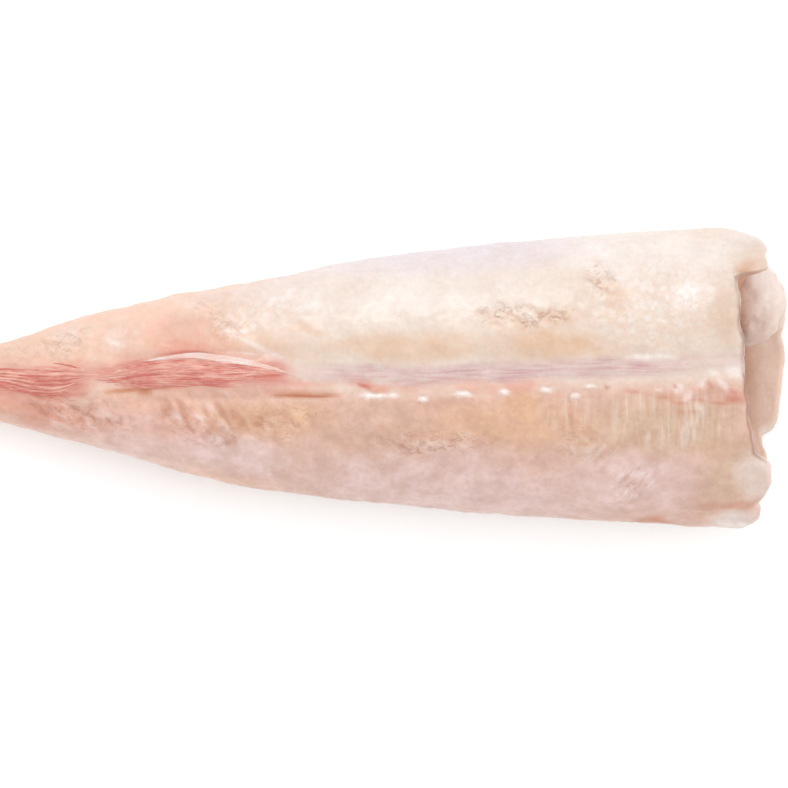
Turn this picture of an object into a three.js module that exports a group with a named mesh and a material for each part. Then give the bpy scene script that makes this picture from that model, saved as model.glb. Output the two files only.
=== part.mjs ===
// A skinned monkfish tail without its head, frozen as it lies on its belly.
// It is one piece of fish, so it is one solid: a loft of closed rings that runs from the thin end along the
// body, round the lip of the cut at the head end, down the cut face and into the shallow gut hollow.
// Millimetres. +X points from the thin end to the cut end, +Y to the left loin and +Z up.
import * as THREE from "three";
import { LoftGeometry } from "three/addons/geometries/LoftGeometry.js";

const { clamp, lerp, smoothstep } = THREE.MathUtils;

// Body sections: how far each one lies from the thin end, and its size there.
const STATION = [0, 34, 75, 125, 185, 250, 330];
const LEFT_HALF_WIDTH = [6.5, 14.2, 26.6, 36.4, 47.4, 54.0, 58.0];
const RIGHT_HALF_WIDTH = [7.0, 15.8, 26.8, 39.8, 47.0, 52.4, 56.4];
const HEIGHT = [17, 27, 36, 43.5, 49, 52.5, 53];

// Section shape: the widest line's share of the height, and how square the back and the belly are.
const WAIST_SHARE = 0.42;
const BACK_FULLNESS = 2.3;
const BELLY_FULLNESS_AT_TAIL = 2.4;
const BELLY_FULLNESS_AT_HEAD = 5;
const BELLY_FLAT = 0.5;
const TAIL_LIFT = 2.5;
const TAIL_LIFT_REACH = 60;

// The backbone line along the back: its offset to the left of the middle at each station.
// Relief beside it fades out down the sides, over this span of the sine of the ring angle.
const BACKBONE_LINE = [0, -0.4, -0.6, 1.8, 0.4, 2.7, 6.0];
const RELIEF_FADE = [0, 0.4];

// The groove over the backbone, between the two loins, with the strip of membrane that lies in it.
const GROOVE_SPAN = [112, 165];
const GROOVE_DEPTH = 3.8;
const GROOVE_LEFT_SPREAD = 11;
const GROOVE_RIGHT_SPREAD = 6.5;
const STRIP_RISE = 1.0;
const STRIP_SPREAD = 2.8;
const SHOULDER_RISE = 1.0;
const SHOULDER_OFFSET = 7.6;
const SHOULDER_SPREAD = 2.4;

// The red fin muscles on the backbone line: a bundle at the thin end, then a spindle between two seams.
const BUNDLE_FADE = [50, 74];
const BUNDLE_RISE = 1.6;
const BUNDLE_SPREAD = 5;
const SPINDLE_SPAN = [74, 147];
const SPINDLE_BLUNTNESS = 0.8;
const SPINDLE_RISE = 2.4;
const SPINDLE_SPREAD = 6;
const SPINDLE_END_SPREAD = 3;
const SEAM_DEPTH = 0.9;
const SEAM_OFFSET = 8.2;
const SEAM_SPREAD = 1.8;

// The cut at the head end: where the back stops, and the rolled corners on each side of it.
// Spans across the body are shares of its half width, positive to the left.
const CUT_STATION = 311.5;
const CUT_SLANT = 5;
const CUT_BOW = 2.5;
const LEFT_ROLL = 13;
const LEFT_ROLL_SPAN = [0.73, 0.87];
const LEFT_ROUND = 9;
const LEFT_ROUND_SPAN = [0.9, 1];
const RIGHT_ROLL = 5;
const RIGHT_ROLL_PLACE = -0.72;
const RIGHT_ROLL_SPREAD = 0.12;
const RIGHT_ROUND = 5.5;
const RIGHT_ROUND_SPAN = [0.86, 1.02];

// The belly flaps reach further than the back, and the left flap lies over the right one.
const FLAP_END = 329.2;
const FLAP_RIGHT_SPAN = [-0.84, -0.14];
const FLAP_LEFT_SPAN = [0.55, 1];
const FLAP_STEP = 3.6;
const FLAP_STEP_FADE = [0.6, 0.9];
const FLAP_EDGE_Y = 10.5;
const FLAP_EDGE_SLOPE = 0.59;
const FLAP_EDGE_SOFTNESS = 1.6;

// The lip round the cut, the face inside it with the end of the backbone, and the gut hollow under that.
const LIP_BACK = 6;
const LIP_BELLY = 6.5;
const LIP_SIDE = 10;
const LIP_NOSE_SHARE = 0.35;
const FACE_STATION = 310;
const FACE_BULGE = 1.6;
const FACE_SPAN = [-0.1, 0.3];
const BACKBONE_RADIUS = 7.5;
const BACKBONE_RISE = 2;
const BACKBONE_CENTRE = [3.2, 29.5];
const MOUTH_HALF_WIDTH = 36;
const MOUTH_HALF_HEIGHT = 6;
const MOUTH_LEVEL = 14;
const HOLLOW_DEPTH = 26;

// Facets: points round each ring, more of them on the back, and rings in each stretch of the loft.
const RING_POINTS = 76;
const BACK_CROWDING = 0.18;
const TIP_SHARES = [0.35, 0.75];
const TIP_DOME = 1.6;
const BODY_RINGS = 54;
const LIP_RINGS = 5;
const FACE_RINGS = 8;
const HOLLOW_RINGS = 5;

const FLESH = { color: 0xe8c9bb, roughness: 0.42, metalness: 0 };

const ramp = (value, [from, to]) => smoothstep(value, from, to);
const bell = (distance, spread) => Math.exp(-((distance / spread) ** 2));

// A smooth curve along the body through one value at each station.
function profile(values) {
  const spline = new THREE.CubicInterpolant(STATION, values, 1);
  return (station) => spline.evaluate(station)[0];
}

const leftHalfWidth = profile(LEFT_HALF_WIDTH);
const rightHalfWidth = profile(RIGHT_HALF_WIDTH);
const heightAt = profile(HEIGHT);
const backboneLine = profile(BACKBONE_LINE);

// Rise of the back at a point that lies aside millimetres to the left of the backbone line.
function backRelief(station, aside) {
  const groove = ramp(station, GROOVE_SPAN);
  const grooveSpread = aside > 0 ? GROOVE_LEFT_SPREAD : GROOVE_RIGHT_SPREAD;
  const bundle = 1 - ramp(station, BUNDLE_FADE);
  const run = THREE.MathUtils.inverseLerp(...SPINDLE_SPAN, clamp(station, ...SPINDLE_SPAN));
  const spindle = Math.sin(Math.PI * run) ** SPINDLE_BLUNTNESS;
  const spindleSpread = lerp(SPINDLE_END_SPREAD, SPINDLE_SPREAD, spindle);
  return (
    -GROOVE_DEPTH * groove * bell(aside, grooveSpread) +
    STRIP_RISE * groove * bell(aside, STRIP_SPREAD) +
    SHOULDER_RISE * groove * bell(aside + SHOULDER_OFFSET, SHOULDER_SPREAD) +
    BUNDLE_RISE * bundle * bell(aside, BUNDLE_SPREAD) +
    SPINDLE_RISE * spindle * bell(aside, spindleSpread) -
    SEAM_DEPTH * spindle * bell(Math.abs(aside) - SEAM_OFFSET, SEAM_SPREAD)
  );
}

// A point on the body's surface: station along X, and angle from the left side over the back.
function bodyPoint(station, angle) {
  const across = Math.cos(angle);
  const up = Math.sin(angle);
  const y = across * (across > 0 ? leftHalfWidth : rightHalfWidth)(station);
  const height = heightAt(station);
  const waist = WAIST_SHARE * height;
  const headward = clamp(station / CUT_STATION, 0, 1);
  const bellyFullness = lerp(BELLY_FULLNESS_AT_TAIL, BELLY_FULLNESS_AT_HEAD, headward);
  const arch = (fullness) => Math.sqrt(Math.max(0, 1 - Math.abs(across) ** fullness));
  const lift = TAIL_LIFT * clamp(1 - station / TAIL_LIFT_REACH, 0, 1) ** 2;
  if (up < 0) {
    const belly = waist * (1 - arch(bellyFullness)) + lift;
    return new THREE.Vector3(station, y, Math.max(belly, BELLY_FLAT));
  }
  const back = waist + (height - waist) * arch(BACK_FULLNESS) + lift;
  const relief = backRelief(station, y - backboneLine(station)) * ramp(up, RELIEF_FADE);
  return new THREE.Vector3(station, y, back + relief);
}

// Station at which the surface ends: on the cut's edge over the back, on the flaps under the belly.
function endStation(angle) {
  const across = Math.cos(angle);
  const straight = CUT_STATION - CUT_SLANT * across + CUT_BOW * across ** 2;
  const left = LEFT_ROLL * ramp(across, LEFT_ROLL_SPAN) - LEFT_ROUND * ramp(across, LEFT_ROUND_SPAN) ** 2;
  const rightRoll = RIGHT_ROLL * bell(across - RIGHT_ROLL_PLACE, RIGHT_ROLL_SPREAD);
  const edge = straight + left + rightRoll - RIGHT_ROUND * ramp(-across, RIGHT_ROUND_SPAN);
  const flap = ramp(across, FLAP_RIGHT_SPAN) * (1 - ramp(across, FLAP_LEFT_SPAN));
  return Math.sin(angle) < 0 ? lerp(edge, FLAP_END, flap) : edge;
}

// How thick the flesh is at the cut: thin over the back, thicker in the flaps, thickest in the corners.
function lipThickness(angle) {
  const up = Math.sin(angle);
  return lerp(LIP_SIDE, up > 0 ? LIP_BACK : LIP_BELLY, up * up);
}

// The rim of the gut hollow in the cut face.
function mouthPoint(angle) {
  const y = MOUTH_HALF_WIDTH * Math.cos(angle);
  const z = MOUTH_LEVEL + MOUTH_HALF_HEIGHT * Math.sin(angle);
  return new THREE.Vector3(FACE_STATION, y, z);
}

// The left flap's edge is a step in the upper side of the flaps.
function flapStep(point, angle) {
  const edge = FLAP_EDGE_Y + FLAP_EDGE_SLOPE * (point.x - CUT_STATION);
  const onLeftFlap = smoothstep(point.y - edge, -FLAP_EDGE_SOFTNESS, FLAP_EDGE_SOFTNESS);
  const clearOfCorner = 1 - ramp(Math.cos(angle), FLAP_STEP_FADE);
  return FLAP_STEP * onLeftFlap * clearOfCorner * smoothstep(-Math.sin(angle), 0, 0.5);
}

// Turn is 0 on the outer surface and 1 on the inner side of the lip.
function lipPoint(turn, angle) {
  const thickness = lipThickness(angle);
  const nose = LIP_NOSE_SHARE * thickness;
  const outer = bodyPoint(endStation(angle) - nose, angle);
  const inward = mouthPoint(angle).sub(outer).setX(0).normalize();
  const half = Math.PI * (turn - 0.5);
  const point = outer.addScaledVector(inward, (thickness * (1 + Math.sin(half))) / 2);
  point.x += nose * Math.cos(half);
  point.z += turn * flapStep(point, angle);
  return point;
}

// Depth is 0 at the lip and 1 at the rim of the gut hollow.
function facePoint(depth, angle) {
  const point = lipPoint(1, angle).lerp(mouthPoint(angle), depth);
  const underBack = ramp(Math.sin(angle), FACE_SPAN);
  const fromBackbone = Math.hypot(point.y - BACKBONE_CENTRE[0], point.z - BACKBONE_CENTRE[1]);
  const backbone = 1 - smoothstep(fromBackbone, BACKBONE_RADIUS - 1, BACKBONE_RADIUS + 1);
  point.x += underBack * (FACE_BULGE * Math.sin(Math.PI * depth) + BACKBONE_RISE * backbone);
  return point;
}

// Depth is 0 at the rim of the gut hollow and 1 at its blind end, where the surface closes to a point.
function hollowPoint(depth, angle) {
  const quarter = (depth * Math.PI) / 2;
  const rim = mouthPoint(angle);
  const z = lerp(MOUTH_LEVEL, rim.z, Math.cos(quarter));
  return new THREE.Vector3(rim.x - HOLLOW_DEPTH * Math.sin(quarter), rim.y * Math.cos(quarter), z);
}

// A ring of points, evenly counted round the body but crowded a little on the back.
function ring(pointAt) {
  return Array.from({ length: RING_POINTS }, (_, i) => {
    const turn = (2 * Math.PI * i) / RING_POINTS;
    return pointAt(turn + BACK_CROWDING * (Math.cos(turn) - 1));
  });
}

const rings = (count, pointAt) =>
  Array.from({ length: count }, (_, i) => ring((angle) => pointAt((i + 1) / count, angle)));

// The blunt thin end: shrunken copies of the first section that dome outwards.
function tipRing(share) {
  const centre = new THREE.Vector3(0, 0, WAIST_SHARE * HEIGHT[0] + TAIL_LIFT);
  return ring((angle) => {
    const point = centre.clone().lerp(bodyPoint(0, angle), share);
    point.x -= TIP_DOME * (1 - share * share);
    return point;
  });
}

// The whole surface, with the middle of its length and width and its lowest point moved to the origin.
function tailGeometry() {
  const bodyEnd = (angle) => endStation(angle) - LIP_NOSE_SHARE * lipThickness(angle);
  const sections = [
    ...TIP_SHARES.map(tipRing),
    ring((angle) => bodyPoint(0, angle)),
    ...rings(BODY_RINGS, (share, angle) => bodyPoint(share * bodyEnd(angle), angle)),
    ...rings(LIP_RINGS, lipPoint),
    ...rings(FACE_RINGS, facePoint),
    ...rings(HOLLOW_RINGS, hollowPoint),
  ];
  const loft = new LoftGeometry(sections, { capStart: true });
  loft.computeBoundingBox();
  const { min, max } = loft.boundingBox;
  return loft.translate(-(min.x + max.x) / 2, -(min.y + max.y) / 2, -min.z);
}

const tail = new THREE.Mesh(tailGeometry(), new THREE.MeshStandardMaterial(FLESH));
tail.name = "monkfish_tail";

const monkfish = new THREE.Group();
monkfish.name = "frozen_monkfish";
monkfish.add(tail);

export default monkfish;
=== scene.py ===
"""Looks of a skinned, frozen monkfish tail that lies on its belly, built around its CAD solid.

The flesh is one surface of rings: from the thin end along the body, round the lip of the cut, down the cut
face and into the gut hollow. A rounded lobe of the left belly flap leans on the wall inside the cut, and red
fin muscle strands and a pale tendon lie on the back.
Metres. +X runs from the thin end to the cut end, +Y to the left loin and +Z up.
"""
import math

import bpy
import numpy as np
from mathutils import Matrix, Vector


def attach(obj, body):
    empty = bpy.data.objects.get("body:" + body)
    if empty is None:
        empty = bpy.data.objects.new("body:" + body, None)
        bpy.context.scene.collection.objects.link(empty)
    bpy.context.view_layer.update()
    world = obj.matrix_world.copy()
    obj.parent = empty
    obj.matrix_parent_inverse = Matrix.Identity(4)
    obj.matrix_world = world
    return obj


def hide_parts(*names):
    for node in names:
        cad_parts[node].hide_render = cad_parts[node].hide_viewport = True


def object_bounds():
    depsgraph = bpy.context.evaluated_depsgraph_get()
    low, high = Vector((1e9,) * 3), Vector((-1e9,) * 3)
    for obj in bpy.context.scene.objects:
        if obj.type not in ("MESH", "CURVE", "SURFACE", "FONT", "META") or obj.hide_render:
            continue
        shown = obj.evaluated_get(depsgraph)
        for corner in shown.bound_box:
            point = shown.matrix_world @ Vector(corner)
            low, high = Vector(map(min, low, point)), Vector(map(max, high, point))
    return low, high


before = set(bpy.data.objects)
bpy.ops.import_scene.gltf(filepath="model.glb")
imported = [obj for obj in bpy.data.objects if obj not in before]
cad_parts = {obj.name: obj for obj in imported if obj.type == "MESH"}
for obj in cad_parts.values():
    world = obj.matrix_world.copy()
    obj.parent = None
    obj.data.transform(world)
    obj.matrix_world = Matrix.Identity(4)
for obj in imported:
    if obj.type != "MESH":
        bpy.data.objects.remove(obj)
CAD_BOX = [list(corner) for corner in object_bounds()]

bl_info = {
    "name": "Frozen monkfish tail",
    "version": (1, 0, 0),
    "blender": (4, 5, 0),
    "location": "3D View > Sidebar > Monkfish",
    "description": "Builds a skinned, frozen monkfish tail around its CAD solid",
    "category": "Add Mesh",
}

MM = 0.001
NODE = "monkfish_tail"
BODY = "root"

# Body sections: how far each one lies from the thin end, and its size there.
STATION = MM * np.array([0, 34, 75, 125, 185, 250, 330])
LEFT_HALF_WIDTH = MM * np.array([6.5, 14.2, 26.6, 36.4, 47.4, 54.0, 58.0])
RIGHT_HALF_WIDTH = MM * np.array([7.0, 15.8, 26.8, 39.8, 47.0, 52.4, 56.4])
HEIGHT = MM * np.array([17, 27, 36, 43.5, 49, 52.5, 53])
BACKBONE_LINE = MM * np.array([0, -0.4, -0.6, 1.8, 0.4, 2.7, 6.0])

# Section shape: the widest line's share of the height, and how square the back and the belly are.
WAIST_SHARE = 0.42
BACK_FULLNESS = 2.3
BELLY_FULLNESS_AT_TAIL = 2.4
BELLY_FULLNESS_AT_HEAD = 5
BELLY_FLAT = 0.5 * MM
TAIL_LIFT = 2.5 * MM
TAIL_LIFT_REACH = 60 * MM
TIP_DOME = 1.6 * MM

# Relief of the back: its fade down the sides, the groove over the backbone with a membrane strip in it and a
# shoulder on its right, and the red muscles' bundle and spindle, with a seam on each side of the spindle.
RELIEF_FADE = (0, 0.4)
GROOVE_SPAN = (112 * MM, 165 * MM)
GROOVE_LEFT_SPREAD = 11 * MM
GROOVE_RIGHT_SPREAD = 6.5 * MM
STRIP_SPREAD = 2.8 * MM
SHOULDER_OFFSET = 7.6 * MM
SHOULDER_SPREAD = 2.4 * MM
BUNDLE_FADE = (50 * MM, 74 * MM)
BUNDLE_RISE = 1.6 * MM
BUNDLE_SPREAD = 5 * MM
SPINDLE_SPAN = (74 * MM, 147 * MM)
SPINDLE_BLUNTNESS = 0.8
SPINDLE_RISE = 2.4 * MM
SPINDLE_SPREAD = 6 * MM
SPINDLE_END_SPREAD = 3 * MM
SEAM_DEPTH = 0.9 * MM
SEAM_OFFSET = 8.2 * MM
SEAM_SPREAD = 1.8 * MM

# The cut at the head end, with a roll of flesh at each corner. Spans and places are shares of the half width.
CUT_STATION = 311.5 * MM
CUT_SLANT = 5 * MM
CUT_BOW = 2.5 * MM
LEFT_ROLL = 11.5 * MM
LEFT_ROLL_SPAN = (0.675, 0.72)
LEFT_ROLL_PLACE = 0.76
LEFT_ROLL_SPREAD = 0.13
LEFT_ROUND = 14 * MM
LEFT_ROUND_START = 0.86
RIGHT_ROLL = 5.8 * MM
RIGHT_ROLL_SPAN = (0.49, 0.6)
RIGHT_ROLL_FADE = (0.68, 0.88)
RIGHT_NOTCH = 1.5 * MM
RIGHT_NOTCH_PLACE = -0.86
RIGHT_NOTCH_SPREAD = 0.04
RIGHT_ROUND = 6 * MM
RIGHT_ROUND_SPAN = (0.93, 1.03)
RAGGED_SIZE = 9 * MM
RAGGED_RADIUS = 50 * MM
RAGGED_SEED = 5

# The belly flaps, which reach past the cut, the left over the right. Spans and fades are shares of the half
# width.
FLAP_END = 329.2 * MM
FLAP_HALF_WIDTH = 56 * MM
FLAP_RIGHT_SPAN = (-0.84, -0.5)
FLAP_RIGHT_SHARE = 0.55
FLAP_CORNER_SPAN = (-0.41, -0.33)
FLAP_LEFT_SPAN = (0.64, 0.86)
FLAP_NOTCH = 1.8 * MM
FLAP_NOTCH_SIDE = 19.5 * MM
FLAP_NOTCH_SPREAD = 3.5 * MM
FLAP_SLANT = 0.12
FLAP_SLANT_SIDE = 8 * MM
FLAP_SLANT_REACH = 28 * MM
FLAP_STEP = 3.6 * MM
FLAP_STEP_FADE = (0.6, 0.9)
FLAP_SWELL = 2.6 * MM
FLAP_EDGE_SIDE = 13.2 * MM
FLAP_EDGE_SLOPE = 0.43
FLAP_EDGE_SOFTNESS = 1.0 * MM

# The lip round the cut, the face inside it and the gut hollow.
LIP_BACK = 6 * MM
LIP_BELLY = 6.5 * MM
LIP_SIDE = 10 * MM
LIP_NOSE_SHARE = 0.35
FACE_STATION = 310 * MM
FACE_BULGE = 0.6 * MM
FACE_SPAN = (-0.1, 0.3)
ROLL_STRAIGHTNESS = 0.95
ROLL_UNDERCUT = 0.35
ROLL_DROP = 2.5
BACKBONE_RADIUS = 7.5 * MM
BACKBONE_SOFTNESS = 1 * MM
BACKBONE_RISE = 1 * MM
BACKBONE_CENTRE = (3.2 * MM, 29.5 * MM)
MOUTH_HALF_WIDTH = 36 * MM
MOUTH_HALF_HEIGHT = 6 * MM
MOUTH_LEVEL = 14 * MM
HOLLOW_DEPTH = 26 * MM
HOLLOW_END_SHARE = 0.94

# Rounded lobe on the left flap: its middle, the bearings and reaches of its outline, its height, the painted
# shade on it near the cut, and how its paleness grows.
LOBE_CENTRE = (315 * MM, 29 * MM)
LOBE_BEARING = np.radians([-180, -140, -95, -74, -34, -4, 20, 46, 66, 90, 120, 180])
LOBE_REACH = MM * np.array([15, 17.5, 19, 16, 15, 13.5, 13.6, 14.6, 17, 24, 24, 15])
LOBE_BASE = 6 * MM
LOBE_RISE = 16.5 * MM
LOBE_TILT = 0.8
LOBE_SOFTNESS = 1.2
LOBE_COLUMNS = 96
LOBE_ROWS = 30
LOBE_TOP_SHARE = 0.97
LOBE_LUMPS = 3
LOBE_DIMPLES = 2
LOBE_SHADE_SPAN = (309 * MM, 317.5 * MM)
LOBE_SHADE = 0.7
LOBE_PALE_SPAN = (20 * MM, 38 * MM)
LOBE_PALE_LEAST = 0.55

# Rows and columns of the flesh surface, with its columns crowded on the back.
COLUMNS = 256
BACK_CROWDING = 0.5
TIP_ROWS = 8
BODY_ROWS = 320
LIP_ROWS = 14
FACE_ROWS = 22
HOLLOW_ROWS = 10


def srgb(red, green, blue):
    """Scene-linear colour of a screen colour with channels from 0 to 255."""
    channels = np.array([red, green, blue]) / 255
    return tuple(np.where(channels <= 0.04045, channels / 12.92, ((channels + 0.055) / 1.055) ** 2.4))


def colour_property(name, description, *screen_colour):
    """A colour that the sidebar shows."""
    return bpy.props.FloatVectorProperty(
        name=name, description=description, default=srgb(*screen_colour), subtype="COLOR", min=0, max=1
    )


def length_property(name, description, default):
    """A length that the sidebar shows."""
    return bpy.props.FloatProperty(
        name=name, description=description, default=default, unit="LENGTH", precision=5, min=0
    )


def number_property(name, description, default):
    """A plain number that the sidebar shows."""
    return bpy.props.FloatProperty(name=name, description=description, default=default, min=0)


class MonkfishSizes(bpy.types.PropertyGroup):
    """Sizes of the relief on the flesh and of the pieces on its back."""

    groove: length_property("Groove", "Depth of the groove over the backbone", 3.8 * MM)
    strip: length_property("Strip", "Rise of the membrane strip in the groove", 1.0 * MM)
    shoulder: length_property("Shoulder", "Rise of the right loin's edge beside the groove", 0.5 * MM)
    bead: length_property("Beads", "Rise of the wet beads along that edge", 0.9 * MM)
    lumps: length_property("Lumps", "Depth of the broad unevenness of the flesh", 0.5 * MM)
    dimples: length_property("Dimples", "Depth of the small unevenness of the flesh", 0.24 * MM)
    ripple: length_property("Ripples", "Depth of the ripples on the right loin", 0.5 * MM)
    wrinkle: length_property("Wrinkles", "Depth of the fine wrinkles", 0.36 * MM)
    crease: length_property("Crease", "Depth of the creases and slits", 0.6 * MM)
    ragged: length_property("Ragged edge", "Unevenness of the cut's edge", 0.7 * MM)
    strand_width: length_property("Strand width", "Half width of a broad muscle strand", 0.8 * MM)
    strand_rise: length_property("Strand rise", "Half height of a muscle strand", 0.32 * MM)
    tendon_width: length_property("Tendon width", "Half width of the pale tendon", 1.2 * MM)


class MonkfishColours(bpy.types.PropertyGroup):
    """Colours of the flesh's zones and of the pieces on its back."""

    ivory: colour_property("Ivory", "Flesh of the left loin", 214, 200, 188)
    rose: colour_property("Rose", "Flesh of the right loin", 203, 168, 152)
    peach: colour_property("Peach", "Flesh towards the thin end", 220, 182, 163)
    pearl: colour_property("Pearl", "Thin membrane along the left side", 207, 198, 203)
    # Lavender also paints the light on the ripples' crests.
    lavender: colour_property("Lavender", "Thin membrane along the right side", 214, 190, 187)
    # Tan also paints the shade between the granules and on the left roll's lower edge.
    tan: colour_property("Tan", "Yellowish flesh beside the groove", 206, 166, 132)
    blush: colour_property("Blush", "Red-tinged flesh beside the muscles", 208, 140, 120)
    # Blush also paints shade in the groove right of the strip.
    cream: colour_property("Cream", "Milky membrane on the left loin", 219, 212, 208)
    # Milk is white tissue, and also paints highlights: on the wet beads, the ripples' crests, the wrinkles'
    # ridges, the granules' tops and a few glossy spots of the left loin.
    milk_and_highlight: colour_property("Milk", "White connective tissue", 229, 224, 221)
    muscle: colour_property("Muscle", "Red fin muscle", 188, 100, 88)
    muscle_pale: colour_property("Pale muscle", "Pale strands in the fin muscle", 220, 168, 152)
    sand: colour_property("Sand", "Greyish flesh towards the cut", 194, 168, 145)
    strip: colour_property("Strip", "Membrane over the backbone", 184, 145, 145)
    blood: colour_property("Blood", "Dark red lines along the muscles", 180, 92, 78)
    stain: colour_property("Stain", "Orange-brown stains", 184, 114, 76)
    # Rim paints the cut's red-brown edge and the slits, partly their own dark colour and partly painted shade
    # under the lip and inside the slits.
    rim: colour_property("Rim", "Dark slits and edge of the cut", 118, 54, 38)
    crease: colour_property("Crease", "Shade in the skin's creases", 180, 128, 104)
    flap: colour_property("Flap", "Inside of the right belly flap", 212, 184, 168)
    lobe: colour_property("Lobe", "Inside of the left belly flap", 221, 205, 197)
    # Gap paints shade, in a warm orange-brown, on the flaps next to the cut's wall, beside and under the left
    # roll and on the lobe near the cut.
    gap: colour_property("Gap", "Inside of the flaps close to the cut", 190, 134, 96)
    # Hollow paints shade over the gut hollow's reddish wall.
    hollow: colour_property("Hollow", "Wall of the gut hollow", 176, 112, 96)


class MonkfishStage(bpy.types.PropertyGroup):
    """Camera, lights and floor."""

    camera_height: length_property("Camera height", "Height of the camera above the floor", 2.0)
    view_width: length_property("View width", "Width of the view at the fish's widest level", 295.5 * MM)
    key_power: number_property("Key light", "Power of the soft key light in watts", 4.2)
    end_power: number_property("End light", "Power of the soft light that faces the cut, in watts", 1.6)
    fill: number_property("Fill", "Strength of the light all round", 1.12)
    floor: colour_property("Floor", "Colour of the floor", 254, 254, 254)


# Curves and noise


def ramp(value, start, end):
    """Smooth step: 0 up to start, 1 from end on."""
    share = np.clip((value - start) / (end - start), 0, 1)
    return share * share * (3 - 2 * share)


def bell(distance, spread):
    """Bell curve: 1 at no distance, falling off over the spread."""
    return np.exp(-((distance / spread) ** 2))


def band(value, place, spread):
    """Bell curve round a place."""
    return bell(value - place, spread)


def lerp(start, end, share):
    """Straight blend from start to end."""
    return start + (end - start) * share


def curve(places, values, at):
    """Smooth curve through a value at each place: a cubic whose slope there is the mean of both sides'."""
    places, values = np.asarray(places), np.asarray(values)
    rise = np.diff(values) / np.diff(places)
    slope = np.concatenate(([rise[0]], (rise[1:] + rise[:-1]) / 2, [rise[-1]]))
    at = np.clip(at, places[0], places[-1])
    k = np.clip(np.searchsorted(places, at, side="right") - 1, 0, len(places) - 2)
    span = np.diff(places)[k]
    f = (at - places[k]) / span
    bend = span * (f * (1 - f) ** 2 * slope[k] - f * f * (1 - f) * slope[k + 1])
    return lerp(values[k], values[k + 1], f * f * (3 - 2 * f)) + bend


MIXING_PRIMES = np.array([73856093, 19349663, 83492791], np.uint32)
SEED_PRIME = 7919
BIT_MIXERS = np.array([0x7FEB352D, 0x846CA68B], np.uint32)


def corner_values(corners, seed):
    """Random value from -1 to 1 for each whole-number corner, from its three numbers mixed as bits."""
    mixed = corners.astype(np.uint32) * MIXING_PRIMES
    bits = mixed[..., 0] ^ mixed[..., 1] ^ mixed[..., 2] ^ np.uint32(seed * SEED_PRIME + 1)
    for shift, mixer in zip((16, 15), BIT_MIXERS):
        bits = (bits ^ (bits >> np.uint32(shift))) * mixer
    return (bits ^ (bits >> np.uint32(16))) / 2.0**31 - 1


def noise(points, size, seed):
    """Smooth random values: a value at each corner of a lattice of cubes, blended by smooth steps inside."""
    scaled = points / size
    base = np.floor(scaled)
    inside = scaled - base
    inside = inside * inside * (3 - 2 * inside)
    total = np.zeros(points.shape[:-1])
    for corner in np.ndindex(2, 2, 2):
        weight = np.prod(np.where(corner, inside, 1 - inside), axis=-1)
        total += weight * corner_values((base + corner).astype(np.int64), seed)
    return total


def layered_noise(points, size, seed, layers=3):
    """Noise with finer layers on top, each half the size and half the strength of the last."""
    return sum(noise(points, size / 2**i, seed + i) / 2**i for i in range(layers))


# Form of the tail


def body_height(station):
    """Height of the back without its relief."""
    return curve(STATION, HEIGHT, station)


def backbone_side(station):
    """Side of the line over the backbone."""
    return curve(STATION, BACKBONE_LINE, station)


def half_width(station, side):
    """Half width at a station, on the left for a positive side and on the right for a negative one."""
    left = curve(STATION, LEFT_HALF_WIDTH, station)
    return np.where(side > 0, left, curve(STATION, RIGHT_HALF_WIDTH, station))


def tail_lift(station):
    """The thin end's lift off the floor."""
    return TAIL_LIFT * np.clip(1 - station / TAIL_LIFT_REACH, 0, 1) ** 2


def arch(across, fullness):
    """Height of a full arch over a share of the half width: the root of 1 - |across| ^ fullness."""
    return np.sqrt(np.maximum(0, 1 - np.abs(across) ** fullness))


def spindle_share(station):
    """Fullness of the spindle muscle along the body: a blunt half sine between its ends."""
    start, end = SPINDLE_SPAN
    run = np.clip((station - start) / (end - start), 0, 1)
    return np.sin(np.pi * run) ** SPINDLE_BLUNTNESS


def back_relief(sizes, station, aside):
    """Rise of the back at a distance to the left of the backbone line: a groove with a membrane strip in it
    and a raised right shoulder, then the muscles' bundle, and their spindle with a seam on each side."""
    groove = ramp(station, *GROOVE_SPAN)
    spindle = spindle_share(station)
    spread = np.where(aside > 0, GROOVE_LEFT_SPREAD, GROOVE_RIGHT_SPREAD)
    rise = -sizes.groove * groove * bell(aside, spread)
    rise += sizes.strip * groove * bell(aside, STRIP_SPREAD)
    rise += sizes.shoulder * groove * bell(aside + SHOULDER_OFFSET, SHOULDER_SPREAD)
    rise += BUNDLE_RISE * (1 - ramp(station, *BUNDLE_FADE)) * bell(aside, BUNDLE_SPREAD)
    rise += SPINDLE_RISE * spindle * bell(aside, lerp(SPINDLE_END_SPREAD, SPINDLE_SPREAD, spindle))
    rise -= SEAM_DEPTH * spindle * bell(np.abs(aside) - SEAM_OFFSET, SEAM_SPREAD)
    return rise


def back_height(sizes, station, side):
    """Height of the back over a point: the waist, the arch above it, the thin end's lift and the relief."""
    across = side / half_width(station, side)
    height = body_height(station)
    waist = WAIST_SHARE * height
    relief = back_relief(sizes, station, side - backbone_side(station))
    relief = relief * ramp(arch(across, 2), *RELIEF_FADE)
    return waist + (height - waist) * arch(across, BACK_FULLNESS) + tail_lift(station) + relief


def body_points(sizes, station, angle):
    """Body surface: across the body the side is half the width times cos(angle). Over the waist it is the
    back, and under it the same kind of arch turned over, fuller towards the head and cut flat underneath."""
    across, up = np.cos(angle), np.sin(angle)
    side = across * half_width(station, across)
    waist = WAIST_SHARE * body_height(station)
    headward = np.clip(station / CUT_STATION, 0, 1)
    fullness = lerp(BELLY_FULLNESS_AT_TAIL, BELLY_FULLNESS_AT_HEAD, headward)
    belly = np.maximum(waist * (1 - arch(across, fullness)) + tail_lift(station), BELLY_FLAT)
    level = np.where(up < 0, belly, back_height(sizes, station, side))
    return np.stack(np.broadcast_arrays(station, side, level), axis=-1)


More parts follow.
